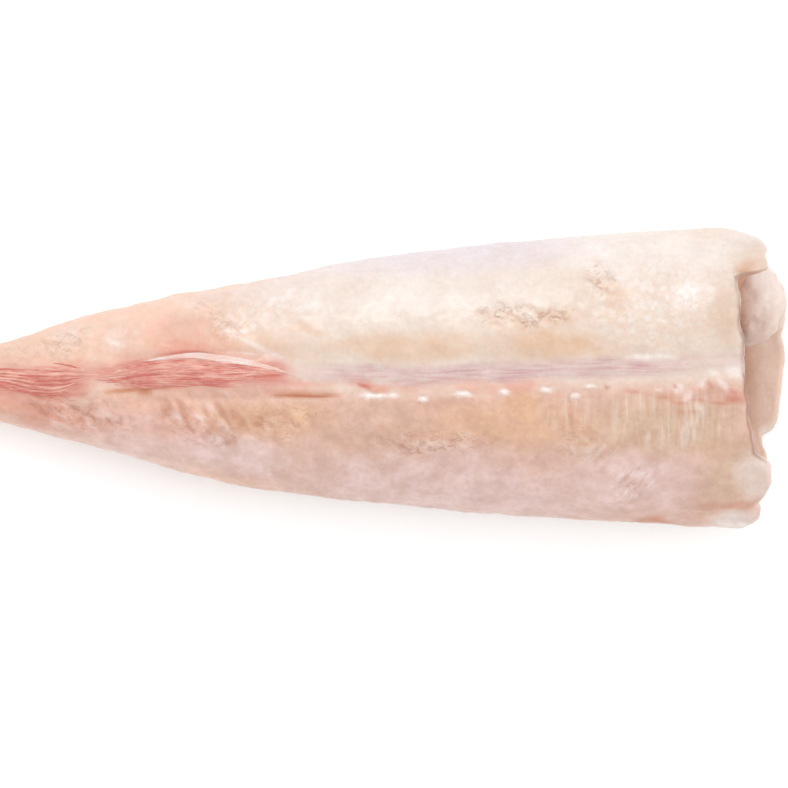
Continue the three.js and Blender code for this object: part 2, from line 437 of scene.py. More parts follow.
def flap_end(across):
    """Where the flaps end: notched where they overlap, and slanting back on the right."""
    side = across * FLAP_HALF_WIDTH
    notch = FLAP_NOTCH * band(side, FLAP_NOTCH_SIDE, FLAP_NOTCH_SPREAD)
    return FLAP_END - notch - FLAP_SLANT * np.clip(FLAP_SLANT_SIDE - side, 0, FLAP_SLANT_REACH)


def end_station(sizes, angle):
    """Where the surface ends: a bowed, slanting, slightly ragged cut over the back with a rolled corner on
    each side, and belly flaps that reach further below."""
    across, up = np.cos(angle), np.sin(angle)
    edge = CUT_STATION - CUT_SLANT * across + CUT_BOW * across**2
    corner = np.clip((across - LEFT_ROUND_START) / (1 - LEFT_ROUND_START), 0, 1)
    edge = edge + LEFT_ROLL * ramp(across, *LEFT_ROLL_SPAN) - LEFT_ROUND * (1 - np.sqrt(1 - corner**2))
    edge = edge + RIGHT_ROLL * ramp(-across, *RIGHT_ROLL_SPAN) * (1 - ramp(-across, *RIGHT_ROLL_FADE))
    edge = edge - RIGHT_NOTCH * band(across, RIGHT_NOTCH_PLACE, RIGHT_NOTCH_SPREAD)
    edge = edge - RIGHT_ROUND * ramp(-across, *RIGHT_ROUND_SPAN)
    flap = lerp(ramp(across, *FLAP_CORNER_SPAN), ramp(across, *FLAP_RIGHT_SPAN), FLAP_RIGHT_SHARE)
    flap = flap * (1 - ramp(across, *FLAP_LEFT_SPAN))
    end = np.where(up < 0, lerp(edge, flap_end(across), flap), edge)
    place = RAGGED_RADIUS * np.stack([across, up, np.zeros_like(across)], axis=-1)
    return end + sizes.ragged * layered_noise(place, RAGGED_SIZE, RAGGED_SEED)


def lip_thickness(angle):
    """Thickness of the flesh at the cut: thin over the back, thicker in the flaps, thickest at the sides."""
    up = np.sin(angle)
    return lerp(LIP_SIDE, np.where(up > 0, LIP_BACK, LIP_BELLY), up * up)


def mouth_points(angle):
    """Rim of the gut hollow: a flat oval in the cut face."""
    side = MOUTH_HALF_WIDTH * np.cos(angle)
    level = MOUTH_LEVEL + MOUTH_HALF_HEIGHT * np.sin(angle)
    return np.stack([np.full_like(angle, FACE_STATION), side, level], axis=-1)


def on_left_flap(points, angle):
    """Weight of the left flap, which ends along a slanting line and fades into the left side."""
    edge = FLAP_EDGE_SIDE + FLAP_EDGE_SLOPE * (points[..., 0] - CUT_STATION)
    left = ramp(points[..., 1] - edge, -FLAP_EDGE_SOFTNESS, FLAP_EDGE_SOFTNESS)
    return left * (1 - ramp(np.cos(angle), *FLAP_STEP_FADE)) * ramp(-np.sin(angle), 0, 0.5)


def left_roll_weight(angle):
    """Weight of the rolled left corner, over the waist only."""
    return band(np.cos(angle), LEFT_ROLL_PLACE, LEFT_ROLL_SPREAD) * ramp(np.sin(angle), 0, 0.3)


def lip_points(sizes, turn, angle):
    """Lip of the cut: half an oval that turns from the outer surface (0) to the inner side of the lip (1),
    and straight down at the left roll."""
    thickness = lip_thickness(angle)
    nose = LIP_NOSE_SHARE * thickness
    outer = body_points(sizes, end_station(sizes, angle) - nose, angle)
    inward = (mouth_points(angle) - outer) * (0, 1, 1)
    inward[..., 1] *= 1 - ROLL_STRAIGHTNESS * left_roll_weight(angle)
    inward /= np.linalg.norm(inward, axis=-1, keepdims=True)
    half = np.pi * (turn - 0.5)
    points = outer + inward * (thickness * (1 + np.sin(half)) / 2)[..., None]
    points[..., 0] += nose * np.cos(half)
    points[..., 2] += FLAP_STEP * turn * on_left_flap(points, angle)
    return points


def backbone_distance(points):
    """Distance from the backbone's middle, in the plane of the cut."""
    return np.hypot(points[..., 1] - BACKBONE_CENTRE[0], points[..., 2] - BACKBONE_CENTRE[1])


def face_points(sizes, depth, angle):
    """Cut face from the lip (0) to the rim of the gut hollow (1): straight lines, bulged under the back, with
    the round end of the backbone standing out, undercut below the left roll and swollen on the left flap."""
    lip = lip_points(sizes, np.ones_like(angle), angle)
    mouth = mouth_points(angle)
    points = lerp(lip, mouth, depth[..., None])
    for axis, bend in ((0, ROLL_UNDERCUT), (1, ROLL_DROP)):
        share = lerp(depth, depth**bend, left_roll_weight(angle))
        points[..., axis] = lerp(lip[..., axis], mouth[..., axis], share)
    edge = BACKBONE_RADIUS - BACKBONE_SOFTNESS, BACKBONE_RADIUS + BACKBONE_SOFTNESS
    backbone = 1 - ramp(backbone_distance(points), *edge)
    bulge = FACE_BULGE * np.sin(np.pi * depth) + BACKBONE_RISE * backbone
    points[..., 0] += bulge * ramp(np.sin(angle), *FACE_SPAN)
    points[..., 2] += FLAP_SWELL * np.sin(np.pi * depth) * on_left_flap(points, angle)
    return points


def hollow_points(depth, angle):
    """Gut hollow: a quarter turn of an oval bowl from its rim (0) towards its blind end (1)."""
    quarter = depth * np.pi / 2
    rim = mouth_points(angle)
    station = rim[..., 0] - HOLLOW_DEPTH * np.sin(quarter)
    side = rim[..., 1] * np.cos(quarter)
    level = lerp(MOUTH_LEVEL, rim[..., 2], np.cos(quarter))
    return np.stack([station, side, level], axis=-1)


def tip_points(sizes, share, angle):
    """Blunt thin end: shrunken copies of the first section that dome outwards."""
    centre = np.array([0, 0, WAIST_SHARE * HEIGHT[0] + TAIL_LIFT])
    points = lerp(centre, body_points(sizes, np.zeros_like(angle), angle), share[..., None])
    points[..., 0] -= TIP_DOME * (1 - share**2)
    return points


def lobe_points(share, bearing):
    """Rounded lobe of the left flap: its outline shrinks by the cosine of a quarter turn as it rises by a
    power of the sine, so that it runs out softly, and it stands higher towards the roll."""
    quarter = share * np.pi / 2
    reach = curve(LOBE_BEARING, LOBE_REACH, bearing) * np.cos(quarter)
    station = LOBE_CENTRE[0] + reach * np.cos(bearing)
    side = LOBE_CENTRE[1] + reach * np.sin(bearing)
    rise = LOBE_RISE + LOBE_TILT * (side - LOBE_CENTRE[1])
    level = LOBE_BASE + rise * np.sin(quarter) ** LOBE_SOFTNESS
    return np.stack([station, side, level], axis=-1)


def tail_grid(sizes):
    """The whole smooth surface as rows of rings, with each point's ring angle and how far into the cut it is:
    0 on the body, 0 to 1 round the lip, 1 to 2 down the face and 2 to 3 in the hollow."""
    turn = 2 * np.pi * np.arange(COLUMNS) / COLUMNS
    ring = turn + BACK_CROWDING * (np.cos(turn) - 1)

    def rows(count, last=1.0):
        shares = np.linspace(0, last, count + 1)[1:]
        return np.broadcast_arrays(shares[:, None], ring[None, :])

    end = end_station(sizes, ring) - LIP_NOSE_SHARE * lip_thickness(ring)
    tip_share, tip_angle = rows(TIP_ROWS)
    body_share, body_angle = rows(BODY_ROWS)
    lip_turn, lip_angle = rows(LIP_ROWS)
    face_depth, face_angle = rows(FACE_ROWS)
    hollow_depth, hollow_angle = rows(HOLLOW_ROWS, HOLLOW_END_SHARE)
    points = [
        tip_points(sizes, tip_share, tip_angle),
        body_points(sizes, body_share * end, body_angle),
        lip_points(sizes, lip_turn, lip_angle),
        face_points(sizes, face_depth, face_angle),
        hollow_points(hollow_depth, hollow_angle),
    ]
    into_cut = [0 * tip_share, 0 * body_share, lip_turn, 1 + face_depth, 2 + hollow_depth]
    angle = [tip_angle, body_angle, lip_angle, face_angle, hollow_angle]
    return np.concatenate(points), np.concatenate(angle), np.concatenate(into_cut)


def grid_normals(points):
    """Outward normals of a grid that closes across its columns, from the cross product of its two slopes."""
    along_rows = np.gradient(points, axis=0)
    round_ring = np.roll(points, -1, axis=1) - np.roll(points, 1, axis=1)
    normals = np.cross(round_ring, along_rows)
    return normals / np.maximum(np.linalg.norm(normals, axis=-1, keepdims=True), 1e-12)


# Zones of the flesh: soft patches and lines at places along the body (station) and across it (side)


PATCH_EDGE = (0.35, 1.25)


def patch(places, centre, half, turn=0.0):
    """Soft oval: 1 well inside, fading to 0 just past its half sizes. Turn is in degrees, from +X to +Y."""
    across = places - MM * np.array(centre)
    c, s = math.cos(math.radians(turn)), math.sin(math.radians(turn))
    long = (across[..., 0] * c + across[..., 1] * s) / (half[0] * MM)
    wide = (across[..., 1] * c - across[..., 0] * s) / (half[1] * MM)
    return 1 - ramp(np.hypot(long, wide), *PATCH_EDGE)


def patches(places, rows):
    """Strongest of several ovals, each a row of centre, half sizes, turn and strength."""
    ovals = [strength * patch(places, centre, half, turn) for centre, half, turn, strength in rows]
    return np.max(ovals, axis=0)


def route(places, points, width):
    """Soft line through a few places: a bell across it, fading to both ends by the root of a half sine."""
    points = MM * np.array(points)
    steps = np.diff(points, axis=0)
    lengths = np.linalg.norm(steps, axis=1)
    passed = np.cumsum(lengths) - lengths
    best = np.zeros(places.shape[:-1])
    for start, step, length, before in zip(points, steps, lengths, passed):
        share = np.clip((places - start) @ step / length**2, 0, 1)
        distance = np.linalg.norm(places - start - share[..., None] * step, axis=-1)
        along = np.clip((before + share * length) / lengths.sum(), 0, 1)
        best = np.maximum(best, np.sqrt(np.sin(np.pi * along)) * bell(distance, width * MM))
    return best


def routes(places, rows):
    """Strongest of several soft lines, each a row of places, width and strength."""
    return np.max([strength * route(places, points, width) for points, width, strength in rows], axis=0)


# Wet beads along the right loin's shoulder: centre and half sizes in millimetres.
BEADS = [
    ((174.0, -5.9), (6.5, 1.5)),
    ((181.3, -5.5), (2.4, 1.2)),
    ((192.0, -7.2), (2.8, 1.0)),
    ((206.5, -5.6), (4.4, 1.3)),
    ((222.0, -4.2), (2.3, 1.4)),
    ((237.8, -3.8), (2.9, 1.1)),
    ((248.3, -6.0), (2.2, 1.1)),
    ((254.0, -2.2), (3.2, 0.8)),
]

# Colour zones: centre, half sizes in millimetres, turn in degrees and strength of each oval.
TAN_PATCHES = [
    ((226, -16), (40, 10), 0, 0.75),
    ((228, -11), (9, 8), 10, 1.0),
    ((136, -15), (26, 8), 0, 0.75),
    ((238, 13), (30, 7), 0, 0.75),
    ((185, 12), (36, 6), 0, 0.65),
    ((133, 12), (26, 5), -10, 0.4),
    ((253, -20), (9, 5), 30, 0.7),
    ((262, 30), (5, 16), 15, 0.4),
    ((236, 22), (26, 6), 0, 0.5),
    # The next oval paints shade on the left roll's lower edge.
    ((317, 41), (8, 6), 0, 0.2),
    ((265, -17), (5, 8), 0, 0.5),
    ((300, -25), (8, 3), 0, 0.5),
    ((141.5, 25), (4.5, 3), 20, 0.6),
    ((149, 18.5), (8, 3), 0, 0.45),
    ((77, 21.5), (2.6, 2.2), 0, 0.5),
    ((90, 15), (3.6, 3), 0, 0.45),
]
SAND_PATCHES = [
    ((284, -17), (30, 13), 0, 0.95),
    ((306, -32), (13, 16), 0, 0.8),
    ((255, -25), (12, 7), 20, 0.5),
    ((303, 24), (9, 14), 0, 0.7),
    ((317, 45), (10, 9), 0, 0.45),
    ((40, 14), (22, 5), 14, 0.3),
]
BLUSH_PATCHES = [
    ((104, 12.5), (17, 4), -2, 0.75),
    ((103, 17), (22, 7), -6, 0.5),
    ((46, -10), (20, 7), -8, 0.9),
    ((62, 7), (12, 3), 0, 0.4),
    ((307, -7), (4.5, 3), 0, 0.85),
    ((227, -1), (9, 4), 0, 0.6),
    # The next two ovals darken the groove right of the strip: painted shade there, in the red tinge.
    ((172, -2), (11, 2.4), 0, 1.0),
    ((204, -1.5), (46, 3), 0, 0.55),
    ((66, -14), (18, 8), -12, 0.45),
    ((98, -16), (26, 9), -12, 0.3),
    ((20, -6), (18, 5), -4, 0.6),
    ((150, -2.4), (14, 2.5), 0, 0.6),
]
CREAM_PATCHES = [
    ((195, 34), (50, 14), 4, 0.55),
    ((287, 33), (17, 13), 0, 0.7),
    ((143, 28), (24, 9), 10, 0.6),
    ((262, 22), (16, 10), 0, 0.4),
    ((309.5, 5), (4.5, 6), 0, 0.5),
    ((275, 47), (36, 12), 0, 1.0),
    ((77, -2.0), (9, 2.2), 4, 0.25),
    ((316, -37), (8, 12), 10, 0.6),
    ((310, -53), (13, 5), 0, 0.85),
    ((78, 17), (4, 6), -30, 0.35),
    ((5, 9), (10, 3), 5, 0.6),
    ((59, 17), (5, 4), 10, 0.4),
]
# White tissue, with painted highlights among it: the glint in the grainy flesh near the cut and the glare on
# the middle of the left loin.
MILK_AND_HIGHLIGHT_PATCHES = [
    ((287.7, 31.7), (6, 4.5), 0, 0.8),
    ((147, 29), (13, 5), 14, 0.3),
    ((176, 28), (14, 5), 0, 0.15),
    ((307, 4.0), (3.5, 3), 0, 0.5),
    ((287, -1.8), (2.4, 2.4), 0, 0.5),
    ((290, -5), (2.0, 1.8), 0, 0.5),
    ((294.5, -3.2), (2.2, 1.4), 20, 0.45),
    ((299, 1.2), (3.0, 1.6), 10, 0.5),
    ((302.5, -1.8), (1.8, 2.2), 0, 0.5),
    ((280.5, -3.4), (1.8, 1.0), 0, 0.4),
]
PEARL_PATCHES = [
    ((205, 48), (66, 10), 5, 1.0),
    ((138, 36), (34, 6), 14, 0.4),
    ((314, 53), (12, 6), 0, 0.4),
]
LAVENDER_PATCHES = [
    ((205, -40), (72, 15), -4, 0.85),
    ((120, -27), (32, 9), -12, 0.85),
    ((86, -17), (30, 8), -14, 0.5),
    ((86, -25), (26, 7), -14, 0.7),
    ((268, -38), (34, 13), 0, 0.9),
    ((60, -22), (30, 6), -14, 0.4),
    ((281, -22), (5, 4), 0, 0.5),
    ((292, -19), (6, 4), 0, 0.5),
]
STAIN_PATCHES = [
    ((278, -53), (9, 3.2), 0, 1.0),
    ((306, -46.5), (13, 1.8), 2, 0.4),
]
WRINKLE_PATCHES = [
    ((257, 38), (6, 7), -40, 0.8),
    ((230, 23.5), (22, 5), 0, 0.9),
    ((66, -13), (24, 9), -12, 0.7),
    ((58, 14), (14, 5), 16, 0.6),
    ((38, 8), (20, 4), 10, 0.4),
    ((118, 22), (16, 6), -12, 0.5),
    ((142, -16), (16, 8), 0, 0.6),
    ((196, -24), (24, 6), 0, 0.8),
    ((110, -19), (20, 8), -12, 0.5),
    ((250, -22), (10, 9), 60, 0.5),
]
GRAIN_PATCHES = [
    ((278, 26), (32, 22), 0, 1.0),
    ((128, 24), (24, 11), 10, 0.8),
    ((238, 20), (24, 7), 0, 0.6),
    ((186, -22), (20, 8), 0, 0.6),
    ((60, 12), (30, 8), 8, 0.8),
    ((142, -16), (16, 8), 0, 0.6),
]
RIPPLE_PATCHES = [
    ((112, -15), (26, 10), -14, 0.9),
    ((186, -22), (18, 8), 0, 0.5),
    ((60, -13), (26, 7), -14, 0.5),
    ((140, -17), (20, 9), -6, 0.5),
]
STREAK_PATCHES = [
    ((284, -14), (30, 12), 0, 1.0),
    ((247, -12), (12, 9), 0, 0.6),
]
SCORE_PATCHES = [
    ((270, -38.5), (12, 7), 35, 1.0),
    ((258, -28), (8, 6), 40, 0.5),
]

# Soft lines: places along each one, width in millimetres and strength.
BLOOD_LINES = [
    ([(34, -1.4), (39, -2.2), (47, -5.0), (55, -5.6), (62, -5.2), (68, -5.0)], 1.2, 0.75),
    ([(90.5, 8.5), (97.5, 9.8), (104, 10.5), (110, 10.3), (118, 9.0)], 0.6, 0.75),
    ([(76.5, 5.0), (82, 5.9), (90.5, 8.2)], 0.6, 0.5),
    ([(130, 2.8), (139, 0.8)], 0.9, 0.6),
    ([(167.5, -1.7), (173, -3.0)], 0.8, 0.9),
    ([(266.5, -3.9), (274, -4.6)], 0.6, 0.5),
    ([(259.5, -2.6), (261, -3.2)], 0.8, 0.7),
    ([(303, -7), (311, -8)], 1.2, 0.45),
    ([(285, -1.2), (285.6, -3.2)], 0.7, 0.6),
    ([(291.5, -7.2), (297, -8.2)], 0.7, 0.5),
    ([(296.5, -0.6), (299.5, -3.8)], 0.8, 0.4),
    ([(305, -3.6), (308.5, -5.4)], 0.9, 0.5),
]
STAIN_LINES = [
    ([(85.5, -3.2), (88.8, -3.8), (92, -3.4)], 1.9, 1.0),
    ([(73, -4.8), (82, -3.9), (87.5, -3.2), (93, -2.7), (104, -2.3)], 0.9, 1.0),
    ([(133, -4.6), (142, -4.9), (152, -5.2), (160, -5.0)], 1.5, 0.5),
    ([(135, -5.7), (144, -6.0), (152, -6.3), (162, -5.9)], 0.9, 1.0),
    ([(278.5, -6.6), (284.5, -6.8)], 0.6, 0.5),
    ([(284.5, -8.4), (290.5, -8.8)], 0.6, 0.5),
    ([(285.5, -11.8), (295.5, -12.0)], 0.6, 0.45),
    ([(298, -8.4), (304.5, -9.0)], 0.7, 0.6),
]
SLIT_LINES = [
    ([(136, -5.7), (144, -6.0), (152, -6.3), (161, -5.9)], 0.75, 0.34),
    ([(86.5, -3.5), (91.5, -3.2)], 0.8, 0.25),
]
# White tissue lines; the first is a soft highlight streak across the left loin, painted as colour.
MILK_AND_HIGHLIGHT_LINES = [
    ([(117, 19.5), (125, 15.5), (132, 11.5), (143, 6)], 1.2, 0.5),
    ([(266, 8.2), (277, 8.7), (287, 8.4)], 0.9, 0.8),
    ([(134.5, 27), (137, 30), (140, 31)], 1.0, 0.5),
    ([(141.5, 30), (143, 33), (145.5, 35)], 1.3, 0.5),
    ([(145.5, 25.5), (150, 27.5), (154, 28.2)], 1.1, 0.6),
    ([(146, 23.3), (151, 22.6)], 0.8, 0.5),
    ([(157.5, 30), (159.5, 23)], 0.8, 0.35),
    ([(124, 18.6), (127.5, 17.6)], 0.9, 0.5),
    ([(123, 27), (126.5, 24), (127, 21)], 0.9, 0.35),
    ([(72.5, 15.8), (75, 15), (78.7, 13.4), (81.7, 12.6)], 0.9, 0.45),
    ([(84, 18.6), (86.5, 17.4)], 1.0, 0.4),
    ([(134, -7.4), (144, -7.6), (154, -7.5)], 0.7, 0.15),
]
CREST_LINES = [
    ([(107, -11.2), (109, -14.5), (110.5, -17.8), (110, -20.8)], 1.2, 1.0),
    ([(112, -22.2), (115, -21.6), (118.7, -20.2)], 1.0, 1.0),
    ([(117.6, -14.9), (119.9, -17.8), (122.9, -20.8)], 1.1, 0.8),
    ([(125.5, -21.6), (128.4, -21.2), (131.4, -22.7)], 0.9, 1.0),
    ([(94.5, -16.8), (98.2, -15.3), (101.9, -12)], 1.1, 0.7),
    ([(99, -20.8), (101.9, -19), (104.9, -19.8)], 1.1, 0.7),
    ([(117.5, -4.6), (120.5, -6)], 1.1, 0.8),
    ([(86, -16), (89.5, -14.2), (92, -11)], 1.0, 0.6),
    ([(76.5, -14.8), (80, -12.6)], 0.9, 0.5),
    ([(66.5, -17), (70, -14.8)], 0.9, 0.5),
]
TROUGH_LINES = [
    ([(101.2, -7.9), (103, -11.2), (104.5, -15), (104.1, -18.3)], 1.2, 1.0),
    ([(110.5, -9), (112, -12), (113.5, -15.3), (115.7, -18.6)], 1.1, 0.9),
    ([(121, -12.3), (123.2, -15.3), (125.4, -17.9)], 1.3, 0.8),
    ([(128, -16.4), (131.8, -17.5), (135, -17.9)], 0.8, 0.8),
    ([(118.3, -23.8), (121.6, -23.4)], 1.0, 0.7),
    ([(94, -10.5), (96, -13.8), (95.5, -18)], 1.0, 0.5),
    ([(84.5, -12.5), (87, -16.2)], 0.9, 0.5),
    ([(45.7, -9.3), (48, -10.8)], 0.8, 0.7),
    ([(51, -12.3), (54, -10.8)], 0.8, 0.7),
    ([(62.2, -16.4), (66, -14.2)], 0.8, 0.7),
]
CREASE_LINES = [
    ([(239, -13.5), (235.7, -25.7), (232.5, -33), (229.4, -35.6)], 0.9, 0.8),
    ([(303, 46), (307, 44), (310.5, 41), (312, 37)], 1.4, 1.0),
]

# More ovals: the red trace near the cut, and the painted orange shade at the foot of the left roll.
MUSCLE_PATCHES = [((297, -6), (17, 4), 0, 0.12)]
GAP_SHADE_PATCHES = [((311, 38), (3.5, 7), 0, 0.6)]

# Noise that shifts, thins and frays the zones: its sizes, reaches and seeds.
SHIFT_SIZE = 11 * MM
SHIFT_SEEDS = (21, 31)
PATCH_SHIFT = 2.4 * MM
LINE_SHIFT = 0.35 * MM
UNEVEN_SIZE = 7 * MM
UNEVEN_SEED = 41
FRAY_SIZE = 5 * MM
FRAY_SEED = 95
BEAD_SHIFT = 0.55 * MM
BEAD_SHIFT_SIZE = 2.6 * MM
BEAD_SEEDS = (91, 92)

# Noise drawn out into ripples and wrinkles: its stretch and waver, and the finer layer's size and strength.
STRETCH = 0.36
STRETCH_SHIFT = 0.8 * MM
STRETCHED_STRENGTH = 0.8
STRETCHED_FINE_SIZE = 0.58
STRETCHED_FINE_STRENGTH = 0.5
RIPPLE_TURN = math.radians(-57)
RIPPLE_SIZE = 2.2 * MM
RIPPLE_SEED = 81
RIPPLE_SHIFT = 1.1 * MM
RIPPLE_STRENGTH = 0.85
WRINKLE_TURN = math.radians(-22)
WRINKLE_SIZE = 1.9 * MM
WRINKLE_SEED = 83

# Lumps and dimples of the flesh: calmer under cream membranes, rougher in grainy and wrinkled flesh, and none
# underneath.
LUMP_STRETCH = (0.8, 1, 1)
LUMP_SIZE = 16 * MM
LUMP_SEED = 61
DIMPLE_SIZE = 4.5 * MM
DIMPLE_SEED = 71
CREAM_CALM = 0.65
ROUGH_DIMPLES = 0.8
UNDERSIDE_SPAN = (0.5, 0.9)
UNDERSIDE_FADE = (0, 0.5)

# Where the zones lie. A span rises between two values, a fade falls, and a band has a place and a spread.
# They go by the station, the side, the ring angle's cosine (across) and sine (up), and the way into the cut.
OUTSIDE_FADE = (0.2, 0.8)
BACK_SPAN = (-0.15, 0.15)
INNER_SPAN = (0.35, 0.9)
INNER_FADE = (-0.2, 0.2)
BUNDLE_ZONE_FADE = (60 * MM, 74 * MM)
BUNDLE_ZONE_BAND = (0.2 * MM, 4.6 * MM)
SPINDLE_ZONE_SPAN = (0.05, 0.55)
SPINDLE_ZONE_BAND = (2.6 * MM, 5.4 * MM)
BRIDGE_STRENGTH = 0.75
BRIDGE_ALONG = (76 * MM, 12 * MM)
BRIDGE_BAND = (2.4 * MM, 3.2 * MM)
STRIP_SIDE = 1.4 * MM
STRIP_SHIFT = 1.1 * MM
STRIP_EDGE = (1.2 * MM, 5.2 * MM)
STRIP_SPAN = (136 * MM, 172 * MM)
STRIP_FADE = (270 * MM, 300 * MM)
STRIP_FADE_SHARE = 0.6
RIGHT_LOIN_SPAN = (1 * MM, 9 * MM)
THIN_END_FADE = (80 * MM, 170 * MM)
CREST_SPAN = (0.1, 0.9)
TROUGH_SPAN = (0, 0.8)
RIDGE_SPAN = (0.1, 0.6)
STAIN_UP = (0.03, 0.22)
FACE_START = (0.7, 1.1)
FACE_FADE = (1.9, 2.2)
FACE_UP = (-0.1, 0.2)
BACKBONE_FADE = (5.5 * MM, 8.5 * MM)
FLUSH_SPAN = (-0.2, 0.7)
RIM_SPAN = (-0.58, -0.5)
RIM_FADE = (0.66, 0.72)
RIM_START = (0, 0.15)
RIM_UP = (0, 0.2)
RIM_PLACE = 0.29
RIM_FRAY = 0.06
RIM_SPREAD = 0.17
RIM_LIMITS = (0.35, 0.8)
RIM_INSIDE_BAND = (0.5, 0.2)
NOOK_BAND = (0.68, 0.06)
NOOK_START = (0.1, 0.5)
ROLL_SIDE_START = (0.6, 1.0)
ROLL_SIDE_SPAN = (0.2, 0.75)
ROLL_SIDE_UP = (-0.1, 0.1)
NEAR_CUT_FADE = (312 * MM, 321 * MM)
HOLLOW_START = (1.9, 2.4)
DULL_BAND = (-4.6 * MM, 3.2 * MM)
DULL_SPAN = (120 * MM, 150 * MM)
DULLEST = -0.35


class FleshGrid:
    """The tail's smooth surface, with the coordinates, noise and fields that its zones are laid out by."""

    def __init__(self, sizes):
        self.points, angle, self.into_cut = tail_grid(sizes)
        self.plan = self.points[..., :2]
        self.station, self.side = self.plan[..., 0], self.plan[..., 1]
        self.across, self.up = np.cos(angle), np.sin(angle)
        self.aside = self.side - backbone_side(self.station)
        self.outside = 1 - ramp(self.into_cut, *OUTSIDE_FADE)
        self.back = self.outside * ramp(self.up, *BACK_SPAN)
        self.inner = ramp(self.into_cut, *INNER_SPAN) * (1 - ramp(self.up, *INNER_FADE))
        self.left_flap = on_left_flap(self.points, angle)
        self.add_noise()
        self.add_fields()

    def add_noise(self):
        """Noise that thins the zones, frays the cut's rim and shifts the places of patches and lines."""
        self.uneven = 0.5 + 0.5 * layered_noise(self.points, UNEVEN_SIZE, UNEVEN_SEED)
        self.fray = layered_noise(self.points, FRAY_SIZE, FRAY_SEED)
        self.shift = np.stack([layered_noise(self.points, SHIFT_SIZE, seed) for seed in SHIFT_SEEDS], axis=-1)
        self.places = self.plan + PATCH_SHIFT * self.shift
        self.wavering = self.plan + LINE_SHIFT * self.shift

    def add_fields(self):
        """Fields that several zones, or the colours and the relief, share."""
        self.muscle, self.strip, self.beads = muscle_zone(self), strip_zone(self), bead_zone(self)
        self.wrinkle = patches(self.places, WRINKLE_PATCHES)
        self.ripple, self.ridge = ripple_field(self), wrinkle_field(self)


def muscle_zone(grid):
    """Red muscle: the thin end's bundle, the spindle, paler flesh between them and a trace near the cut."""
    bundle = (1 - ramp(grid.station, *BUNDLE_ZONE_FADE)) * band(grid.aside, *BUNDLE_ZONE_BAND)
    spindle = ramp(spindle_share(grid.station), *SPINDLE_ZONE_SPAN) * band(grid.side, *SPINDLE_ZONE_BAND)
    bridge = BRIDGE_STRENGTH * band(grid.station, *BRIDGE_ALONG) * band(grid.side, *BRIDGE_BAND)
    return np.max([bundle, spindle, bridge, patches(grid.places, MUSCLE_PATCHES)], axis=0)


def strip_zone(grid):
    """Membrane over the backbone: a band with a wavering edge, fainter towards the cut."""
    aside = np.abs(grid.aside + STRIP_SHIFT * grid.shift[..., 0] - STRIP_SIDE)
    along = ramp(grid.station, *STRIP_SPAN) * (1 - STRIP_FADE_SHARE * ramp(grid.station, *STRIP_FADE))
    return along * (1 - ramp(aside, *STRIP_EDGE))


def bead_zone(grid):
    """Wet beads along the right loin's shoulder, with wavering outlines."""
    shift = np.stack([noise(grid.points, BEAD_SHIFT_SIZE, seed) for seed in BEAD_SEEDS], axis=-1)
    plan = grid.plan + BEAD_SHIFT * shift
    return np.max([patch(plan, centre, half) for centre, half in BEADS], axis=0)


def stretched_noise(grid, turn, size, seed):
    """Noise drawn out along one direction in plan, with a finer layer in it and a slight waver."""
    c, s = math.cos(turn), math.sin(turn)
    lengthwise = STRETCH * (grid.station * c + grid.side * s)
    crosswise = grid.side * c - grid.station * s
    places = np.stack([lengthwise, crosswise, 0 * lengthwise], axis=-1) + STRETCH_SHIFT * grid.shift[..., :1]
    fine = noise(places, STRETCHED_FINE_SIZE * size, seed + 1)
    return STRETCHED_STRENGTH * noise(places, size, seed) + STRETCHED_FINE_STRENGTH * fine


def wrinkle_field(grid):
    """Fine short wrinkles, from -1 to 1: noise stretched along the body."""
    return stretched_noise(grid, WRINKLE_TURN, WRINKLE_SIZE, WRINKLE_SEED)


def ripple_field(grid):
    """Ripples of the right loin, from -1 to 1: crests and troughs along given lines, and between them lumps
    from noise that is stretched down and outwards."""
    lumps = stretched_noise(grid, RIPPLE_TURN, RIPPLE_SIZE, RIPPLE_SEED)
    wavering = grid.plan + RIPPLE_SHIFT * grid.shift + LINE_SHIFT * lumps[..., None]
    drawn = RIPPLE_STRENGTH * (routes(wavering, CREST_LINES) - routes(wavering, TROUGH_LINES))
    return drawn + patches(grid.places, RIPPLE_PATCHES) * lumps


def cut_face_zone(grid):
    """The cut's face over the gut hollow, from the lip to the hollow's rim, and the backbone's end in it."""
    face = ramp(grid.into_cut, *FACE_START) * (1 - ramp(grid.into_cut, *FACE_FADE)) * ramp(grid.up, *FACE_UP)
    return face, face * (1 - ramp(backbone_distance(grid.points), *BACKBONE_FADE))


def lobe_paleness(side):
    """Paleness of the left flap, which grows towards the roll."""
    return lerp(LOBE_PALE_LEAST, 1, ramp(side, *LOBE_PALE_SPAN))


def thinned(grid, rows, least):
    """Ovals of a zone, thinned by noise that leaves at least this share of them."""
    return patches(grid.places, rows) * lerp(least, 1, grid.uneven)


